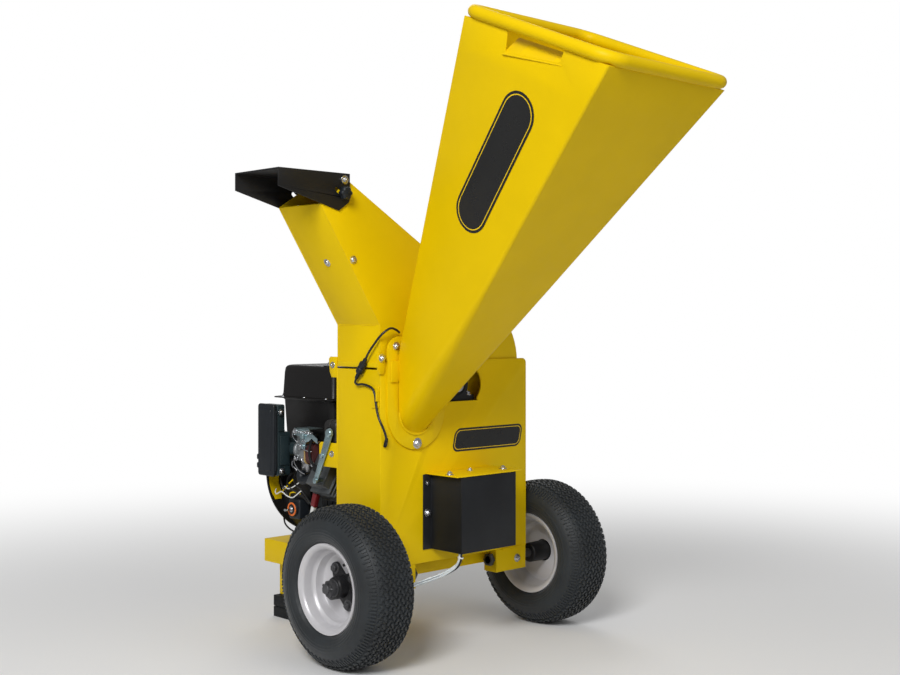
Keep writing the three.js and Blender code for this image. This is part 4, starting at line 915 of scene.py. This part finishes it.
# carburettor group
make("insulator_block", [prism(round_rect(-222, -166, 466, 524, 16, 6), "y", 319, 356), prism(round_rect(-227,
                -166, 472, 518, 16, 6), "y", 325, 350)], MAROON, bevel=1.6)
make("intake_gaskets", [prism(round_rect(-224, -162, 465, 528, 15, 6), "y", 356, 359.4)],
     GASKET)
body = [prism(round_rect(-221, -163, 468, 527, 14, 6), "y", 359.4, 366),
    rod("y", (-190, 500), 21, 362, 424, 40, 2), rod("y", (-190, 500), 24, 414, 424, 40, 1.5),
    soft_box(-217, -166, 366, 402, 474, 530, 6, 3), rod("z", (-190, 383), 12, 468, 478, 32),
    rod("x", (384, 512), 9, -224, -214, 28), rod("x", (395, 486), 6, -222, -214, 20),
    soft_box(-206, -188, 404, 418, 524, 546, 3, 2)]
make("carburettor_body", body, CAST, bevel=0.5, angle=45, replaced=("carburettor",))
bowl = [turn([(12, 436), (16.5, 438), (19, 442), (19.6, 466), (21, 467.5), (21, 470.5), (19, 471)],
        (-190, 383), "z", 40), turn([(5, 431), (5, 436.5)], (-190, 383), "z", 6)]
make("float_bowl", bowl, STEEL)
tube_points = smooth_path([(-214, 384, 446), (-216, 382, 430), (-217, 372, 420), (-217, 352, 422),
        (-216, 330, 430)], 6)
make("intake_elbow", [sweep(tube_points, 13, 20)], PLASTIC)
bracket = [prism([(318, 540), (326, 562), (334, 568), (396, 566), (402, 556), (398, 546), (372, 544),
            (366, 520), (356, 508), (348, 508), (344, 528), (330, 532)], "x", -230, -227.6),
    prism([(-230, 564), (-180, 564), (-180, 566.4), (-230, 566.4)], "y", 332, 392),
    prism([(286, 528), (288, 542), (324, 560), (328, 548)], "x", -233, -230.6),
    rod("x", (352, 546), 8, -238, -224, 24), rod("x", (356, 516), 6, -234, -214, 20)]
make("governor_bracket", bracket, PASSIVATED, bevel=0.5)
coil = [(-236 + 3.4 * cos(t), 306 + t * 0.62, 556 + 3.4 * sin(t)) for t in (k * 0.45 for k in range(240))]
make("governor_spring", [sweep(coil, 0.55, 6)], ZINC)
links = [sweep(smooth_path([(-229, 404, 556), (-231, 400, 540), (-231, 360, 512), (-230, 330, 505),
                (-226, 322, 505)], 6), 1.3, 8), sweep(smooth_path([(-226, 398, 488), (-230, 396, 470), (-230,
                    372, 448), (-228, 350, 440)], 6), 1.3, 8),
    sweep(smooth_path([(-218, 420, 470), (-222, 416, 458), (-222, 402, 452), (-216, 396, 440)], 6), 2.0, 8)]
make("governor_links", links, ZINC)
small = []
for y, z, size in ((392, 556, 10), (362, 518, 9), (334, 556, 8), (352, 532, 7), (398, 480, 9), (366, 478, 9)):
    small += bolt((-230.2 if z > 515 else -221, y, z), (-1, 0, 0), size, 4, 1)
small += round_head((-226, 318, 470), (-1, 0, 0), 5, 3, 1)
fasteners("carburettor_bolts", small, bevel=0.25)

# throttle lever, held on a pivot bolt
top, low = (180, 567), (240, 436)
lean = atan2(top[1] - low[1], top[0] - low[0])
outline = [(top[0] + 13 * cos(lean + t), top[1] + 13 * sin(lean + t))
    for t in (-1.45 + 2.9 * k / 12 for k in range(13))]
outline += [(low[0] + 8.5 * cos(lean + pi + t), low[1] + 8.5 * sin(lean + pi + t))
    for t in (-1.45 + 2.9 * k / 10 for k in range(11))]
middle = (212, 505)
lever = [prism(outline, "x", -275.5, -272), turn([(5, -283), (10, -281.8), (12.5, -278), (12.5, -274)], top,
        "x", 32), turn([(5, -280), (8, -279), (8.5, -276), (8.5, -270), (7, -268), (7, -253.4)], low, "x",
        24), turn([(4, -280.5), (6.5, -279.5), (7, -277), (7, -272)], middle, "x", 24)]
make("throttle_arm", lever, PASSIVATED, "throttle", bevel=0.7, replaced=("throttle_lever",))

# muffler, starter motor, switch box and key
muffler = [soft_box(-262, -150, 170, 222, 520, 600, 16, 7, "y"),
    soft_box(-263.4, -148.6, 194, 198, 518.6, 601.4, 17, 1, "y"),
    soft_box(-215, -182, 200, 238, 502, 524, 6, 2, "y"), turn([(9, -262), (9, -266), (6.5, -266), (6.5,
                -262)], (196, 575), "x", 28, closed=True)]
make("muffler_can", muffler, BURNT, replaced=("muffler",))
motor = [turn([(26, 262), (31, 264), (32, 268), (32, 318), (31.4, 320), (32, 322), (32, 372), (31, 376),
            (24, 379), (14, 380), (12, 385)], (-188, 285), "y", 56),
    turn([(13, 280), (16, 282), (16.5, 286), (16.5, 352), (15, 356), (8, 358), (6, 363)], (-192, 330), "y",
        36), soft_box(-206, -178, 290, 350, 306, 322, 3, 2), soft_box(-204, -176, 262, 270, 300, 348, 4, 2,
        "y")]
make("starter_motor_can", motor, BLACK, smooth=30, bevel=0.3, angle=50, replaced=("starter_motor",))
box = [soft_box(-214, -176, 392, 444, 306, 364, 8, 5, "x"), turn([(14, -222), (19, -221), (21, -217), (21,
                -210)], (418, 335), "x", 48)]
make("switch_housing", box, PLASTIC, replaced=("switch_box",))
make("key_ring", [turn([(14.5, -220.4), (18.8, -220.4), (19.4, -222.4), (18.6, -223.6), (14.8, -223.6), (14,
                    -222.2)], (418, 335), "x", 48, closed=True)], ORANGE)
labels = [prism([(-222, 444), (-222, 404), (-213, 372), (-200, 350), (-178, 350), (-178, 372), (-188, 396),
            (-188, 444)], "y", 527.0, 527.7)]
make("warning_label", labels, YELLOW)
edge = [(-40 - 187.5 * cos(t), 528.6, 433 - 187.5 * sin(t)) for t in (radians(1 + 88 * k / 40)
        for k in range(41))]
make("apron_edge", [sweep(edge, 3.0, 12)], BLACK)
key = [rod("x", (418, 335), 4, -228, -222.3, 20, 0.8), soft_box(-246, -227, 409.5, 426.5, 332.4, 337.6, 1.6,
        5.5, "x", 4), rod("x", (418, 335), 8, -225.4, -223.8, 28, 0.5)]
make("key_blade", key, ZINC, "key", replaced=("ignition_key",))

wires = {"white_wires": (WHITE, "cable_sheath", 1.7, [[(-216, 500, 384), (-224, 494, 378), (-230, 478, 373),
                (-231, 455, 382), (-229, 430, 372), (-228, 408, 369), (-224, 396, 376), (-214, 380, 392)],
            [(-214, 470, 388), (-222, 450, 396), (-226, 430, 392), (-224, 410, 398), (-212, 392, 414)]]),
    "black_wires": (CABLE, "lead_black", 2.4, [[(-200, 480, 430), (-214, 478, 416), (-222, 466, 402), (-224,
                    452, 392), (-218, 446, 378), (-212, 446, 370)],
            [(-196, 452, 432), (-212, 448, 420), (-224, 436, 408), (-226, 420, 396), (-222, 400, 386),
                (-208, 384, 372), (-196, 372, 352)], [(-190, 440, 434), (-206, 430, 420), (-216, 412, 410),
                (-220, 396, 402), (-216, 380, 392), (-200, 366, 360), (-196, 352, 346)],
            [(-205, 478, 302), (-212, 462, 288), (-214, 436, 276), (-206, 410, 268), (-196, 392, 276)]]),
    "yellow_wires": (YELLOW, "cable_sheath", 1.8, [[(-212, 472, 372), (-220, 462, 384), (-222, 448, 390),
                (-218, 438, 404), (-206, 430, 418)], [(-213, 440, 368), (-222, 424, 380), (-222, 404, 384),
                (-214, 388, 380)]]), }
for name, (material, slot, radius, routes) in wires.items():
    make(name, [sweep(smooth_path(route, 6), radius, 10) for route in routes], material)
tilt = Matrix.Translation((-214, 326, 356)) @ Matrix.Rotation(radians(18), 4,
    "X") @ Matrix.Translation((214, -326, -356))
make("red_connector", [moved(soft_box(-222, -206, 316, 334, 352, 392, 4, 3, "z", 4), tilt)], RED)
make("white_connector", [moved(soft_box(-220, -208, 319, 331, 322, 352.5, 2.5, 1.5, "z", 4), tilt)], WHITE)
make("connector_leads", [sweep(smooth_path([(-214, 328, 326), (-212, 334, 312), (-204, 340, 300), (-196, 336,
                        296)], 6), 3.2, 10), sweep(smooth_path([(-214, 322, 390), (-214, 318, 404), (-208,
                        318, 420), (-196, 322, 430)], 6), 3.2, 10)], CABLE)

plug_base = Vector((-217, 278, 452))
plug_out = Vector((-0.86, 0, 0.35)).normalized()
boot = [moved(turn([(10, 0), (10.5, 6), (9, 12), (8, 20), (9.5, 24), (9, 30), (6, 33)], (0, 0), "z", 28),
        facing(plug_base + plug_out * 4, plug_out))]
lead_path = smooth_path([plug_base + plug_out * 30, (-252, 284, 476), (-250, 300, 500), (-232, 316, 530),
        (-200, 336, 546), (-160, 372, 520)], 6)
boot.append(sweep(lead_path, 3.6, 12))
make("spark_plug_boot", boot, RUBBER)

# belt cover fasteners and the yellow bracket plates by the engine
cover_bolts = []
for x, z in ((12, 784), (-78, 740), (102, 740), (-152, 420), (-150, 320), (62, 300), (82, 440)):
    cover_bolts += bolt((x, 221, z), (0, 1, 0), 10, 5, 1.5)
fasteners("belt_cover_bolts", cover_bolts)
plates = [prism([(157.4, 541), (226, 541), (233, 534), (233, 481), (228, 476), (157.4, 476)], "x", -268,
        -263.5), prism([(157.4, 770), (184, 770), (190, 764), (186, 730), (178, 715), (157.4, 715)], "x",
        -269.4, -264.6)]
make("engine_side_plates", plates, YELLOW, bevel=1.0)
fasteners("side_plate_bolts", bolt((-268, 178, 512), (-1, 0, 0), 10, 5) + bolt((-269.4, 172, 748), (-1, 0, 0),
        10, 5))


# ---------- hood fittings ----------
hood_bolts = []
for y, way in ((-21, -1), (161.3, 1)):
    hood_bolts += bolt((-384.6, y, 1214), (0, way, 0), 13, 6, 1.8)
fasteners("hood_pivot_bolts", hood_bolts, "hood")
knob_profile = [(4, -46), (4, -43), (12.5, -42), (15.5, -39), (16, -36), (16, -27), (14.5, -24.6), (9, -22.2),
    (9, -21.4)]
lobed = []
for radius, along in knob_profile:
    wave = 1.6 if radius > 12 else 0
    lobed.append([(-391 + (radius + wave * cos(6 * t)) * cos(t), along,
                1180 + (radius + wave * cos(6 * t)) * sin(t)) for t in (2 * pi * k / 72 for k in range(72))])
knob = [loft(lobed), rod("y", (-391, 1180), 3.9, -23, -17.4, 24, 0.4)]
make("clamp_knob", knob, PLASTIC, "hood_knob", smooth=40, replaced=("deflector_knob",))

# ---------- bearing, battery box and other fasteners ----------
bearing_bolts = []
for x in (-38, 62):
    bearing_bolts += bolt((x, 4, 662.8), (0, 0, 1), 17, 8)
fasteners("bearing_bolts", bearing_bolts, bevel=0.4)
grease = [turn([(26, -14), (29, -14), (30, -12.2), (26, -12)], (12, 693), "y", 48, closed=True)]
make("bearing_seal", grease, RUBBER)

box_bolts = bolt((-111, -25.2, 362), (0, -1, 0), 13, 6, 2) + round_head((-110, -25, 440), (0, -1, 0), 4, 2.5,
    0.6)
for x in (-100, 97):
    box_bolts += bolt((x, -98, 466.2), (0, 0, 1), 13, 6, 2)
box_bolts += bolt((10, -60, 466.2), (0, 0, 1), 10, 4, 1.5)
for sign in (-1, 1):
    box_bolts += bolt((sign * 149.6, 6, 214), (-sign, 0, 0), 13, 6, 2)
    box_bolts += bolt((sign * 232, -22.3, 200), (0, -1, 0), 13, 6, 2)
for x in (-200, 200):
    box_bolts += bolt((x, -22.2, 252), (0, -1, 0), 10, 5, 1.5)
for x in (-120, 120):
    for y in (200, 548):
        box_bolts += bolt((x, y, 231.2), (0, 0, 1), 13, 7, 2)
for x, z in ((-240, 700), (-240, 260), (240, 260), (240, 700), (-240, 480), (240, 480)):
    box_bolts += bolt((x, 157.1, z), (0, 1, 0), 10, 5, 1.5)
for x, z in ((-232, 780), (210, 790), (-150, 960), (60, 890), (-300, 1060)):
    box_bolts += round_head((x, 157.1, z), (0, 1, 0), 6, 4, 1.2)
chute_face = Vector((-456.6 + 266.5, 0, 1150.7 - 854)).normalized()
chute_out = Vector((-chute_face.z, 0, chute_face.x))
chute_spot = Vector((-266.5, 70, 854)) + chute_face * 188
box_bolts += round_head(chute_spot + chute_out * 0.2, chute_out, 7, 4.5, 1.2)
fasteners("frame_bolts", box_bolts)

# corner welds of the housing
housing_welds = [weld([(side * 268.6, y, 232.6), (side * 268.6, y, 250)], 2.2, 2) for side in (-1, 1)
    for y in (0, 60, 120)]
housing_welds += [weld([(x, -23, 231.8), (x + 90, -23, 231.8)], 2.4, 2) for x in (-262, 172)]
housing_welds += [weld([(-266.5, y, 853.6), (-266.5, y + 60, 853.6)], 1.6, 2) for y in (0, 90)]
make("housing_weld_beads", housing_welds, YELLOW)

# ---------- leads ----------
cable = [(-86, -125, 300), (-86, -125, 266), (-87, -123, 248), (-94, -112, 228), (-116, -86, 208),
    (-144, -58, 194), (-170, -38, 184), (-192, -32, 174), (-204, -26, 163), (-207, -6, 157), (-207, 40, 158),
    (-208, 100, 166), (-211, 150, 176), (-214, 185, 196), (-214, 210, 230), (-206, 228, 262),
    (-197, 240, 276), (-192, 258, 279)]
strands = []
core = smooth_path(cable, 5)
for phase in (0, 2.1, 4.2):
    strand = [p + Vector((cos(phase + k * 0.09), 0.5 * sin(phase + k * 0.09), sin(phase + k * 0.09))) * 3.2
        for k, p in enumerate(core)]
    strands.append(sweep(strand, 3.0, 12))
make("battery_cable_sleeves", strands[:2], SLEEVE, replaced=("battery_cable",))
make("battery_cable_dark", strands[2:], CABLE)
ties = []
for k in (8, 34, 58):
    direction = (core[k + 1] - core[k]).normalized()
    ties.append(moved(turn([(6.6, -2), (7.8, -2), (7.8, 2), (6.6, 2)], (0, 0), "z", 24, closed=True),
            facing(core[k], direction)))
    ties.append(moved(slab(6.5, 10.5, -2.6, 2.6, -2.6, 2.6), facing(core[k], direction)))
make("cable_ties", ties, WHITE, bevel=0.4)

upper = [(-213, -30, 835), (-228, -34, 842), (-246, -36, 846), (-262, -36, 840), (-274, -26, 826),
    (-279, -8, 805), (-280, 10, 786), (-280, 24, 768)]
lower = [(-280, 62, 716), (-280, 66, 706), (-279, 58, 701), (-277, 40, 702), (-276, 20, 699), (-276, 2, 692),
    (-276, -8, 676), (-276, -12, 652), (-276, -20, 624), (-274, -30, 604), (-266, -33, 585), (-259, -32, 566),
    (-257, -30, 550)]
make("upper_lead", [sweep(smooth_path(upper, 6), 3, 14)], CABLE, replaced=("safety_lead_upper",))
make("lower_lead", [sweep(smooth_path(lower, 6), 3, 14)], CABLE, replaced=("safety_lead_lower",))
start, end = Vector(upper[-1]), Vector(lower[0])
span = (end - start).length
shell = [(4.2, 0), (5.2, 2), (5.2, 10), (6, 12), (9.5, 14), (10, 17), (10, 26), (9.2, 27.5), (9.2, 29),
    (10.4, 30.5), (10.4, 42), (9, 45), (6, 47), (5.6, 50), (5.2, span - 3), (4.2, span)]
make("safety_plug", [moved(turn(shell, (0, 0), "z", 36), facing(start, end - start))], PLASTIC,
     smooth=30, replaced=("safety_connector",))
make("lead_clip", [soft_box(-272.6, -270.0, -18, 10, 642, 700, 4, 0.8, "x", 4), soft_box(-280.8, -270, -19,
            -15.4, 660, 690, 1.5, 0.8, "x", 3)], YELLOW)
make("lead_boot", [moved(turn([(3.4, 0), (4.6, 1), (4.8, 16), (4, 20), (3.2, 24)], (0, 0), "z", 24),
            facing((-257, -24.5, 544), (0, -0.35, 1)))], RUBBER)


# ---------- stage ----------
WHITE_LEVEL = 1.0
DIM_LEVEL = 0.27


def seen_level(nodes, links):
    """Strength of the white surround: full where it is seen, low where it only lights the machine."""
    path = nodes.new("ShaderNodeLightPath")
    level = nodes.new("ShaderNodeMapRange")
    for socket, number in zip(level.inputs[1:5], (0, 1, DIM_LEVEL, WHITE_LEVEL)):
        socket.default_value = number
    links.new(path.outputs["Is Camera Ray"], level.inputs[0])
    return level.outputs[0]


def backdrop(name):
    """Pale floor that fades to white away from the machine."""
    material = bpy.data.materials.new(name)
    material.use_nodes = True
    nodes, links = material.node_tree.nodes, material.node_tree.links
    surface = nodes["Principled BSDF"]
    surface.inputs["Base Color"].default_value = (0.86, 0.86, 0.86, 1)
    surface.inputs["Roughness"].default_value = 0.75
    surface.inputs["Specular IOR Level"].default_value = 0.1
    where = nodes.new("ShaderNodeTexCoord")
    length = nodes.new("ShaderNodeVectorMath")
    length.operation = "LENGTH"
    links.new(where.outputs["Object"], length.inputs[0])
    fade = nodes.new("ShaderNodeMapRange")
    fade.interpolation_type = "SMOOTHERSTEP"
    for socket, number in zip(fade.inputs[1:5], (0.7, 4.2, 0, 1)):
        socket.default_value = number
    links.new(length.outputs["Value"], fade.inputs[0])
    glow = nodes.new("ShaderNodeEmission")
    links.new(seen_level(nodes, links), glow.inputs["Strength"])
    blend = nodes.new("ShaderNodeMixShader")
    links.new(fade.outputs[0], blend.inputs[0])
    links.new(surface.outputs[0], blend.inputs[1])
    links.new(glow.outputs[0], blend.inputs[2])
    links.new(blend.outputs[0], nodes["Material Output"].inputs["Surface"])
    return material


disc = [(9 * cos(2 * pi * k / 96), 9 * sin(2 * pi * k / 96), 0) for k in range(96)]
floor_mesh = bpy.data.meshes.new("studio_floor")
floor_mesh.from_pydata(disc, [], [tuple(range(96))])
floor = bpy.data.objects.new("studio_floor", floor_mesh)
floor.data.materials.append(backdrop("studio_floor"))
scene.collection.objects.link(floor)

world = bpy.data.worlds.new("studio")
world.use_nodes = True
nodes, links = world.node_tree.nodes, world.node_tree.links
links.new(seen_level(nodes, links), nodes["Background"].inputs["Strength"])
nodes["Background"].inputs["Color"].default_value = (1, 1, 1, 1)
scene.world = world


def area_light(name, location, target, size, power):
    data = bpy.data.lights.new(name, "AREA")
    data.size = size
    data.energy = power
    lamp = bpy.data.objects.new(name, data)
    lamp.location = location
    lamp.rotation_euler = (Vector(target) - Vector(location)).to_track_quat("-Z", "Y").to_euler()
    scene.collection.objects.link(lamp)


area_light("key", (-4.0, -2.4, 3.5), (0, 0, 0.7), 1.8, 222)
area_light("fill", (0.6, -4.4, 3.2), (0, 0, 0.7), 2.4, 26)
area_light("rim_light", (2.8, 3.6, 3.6), (0, 0, 0.8), 2.5, 50)
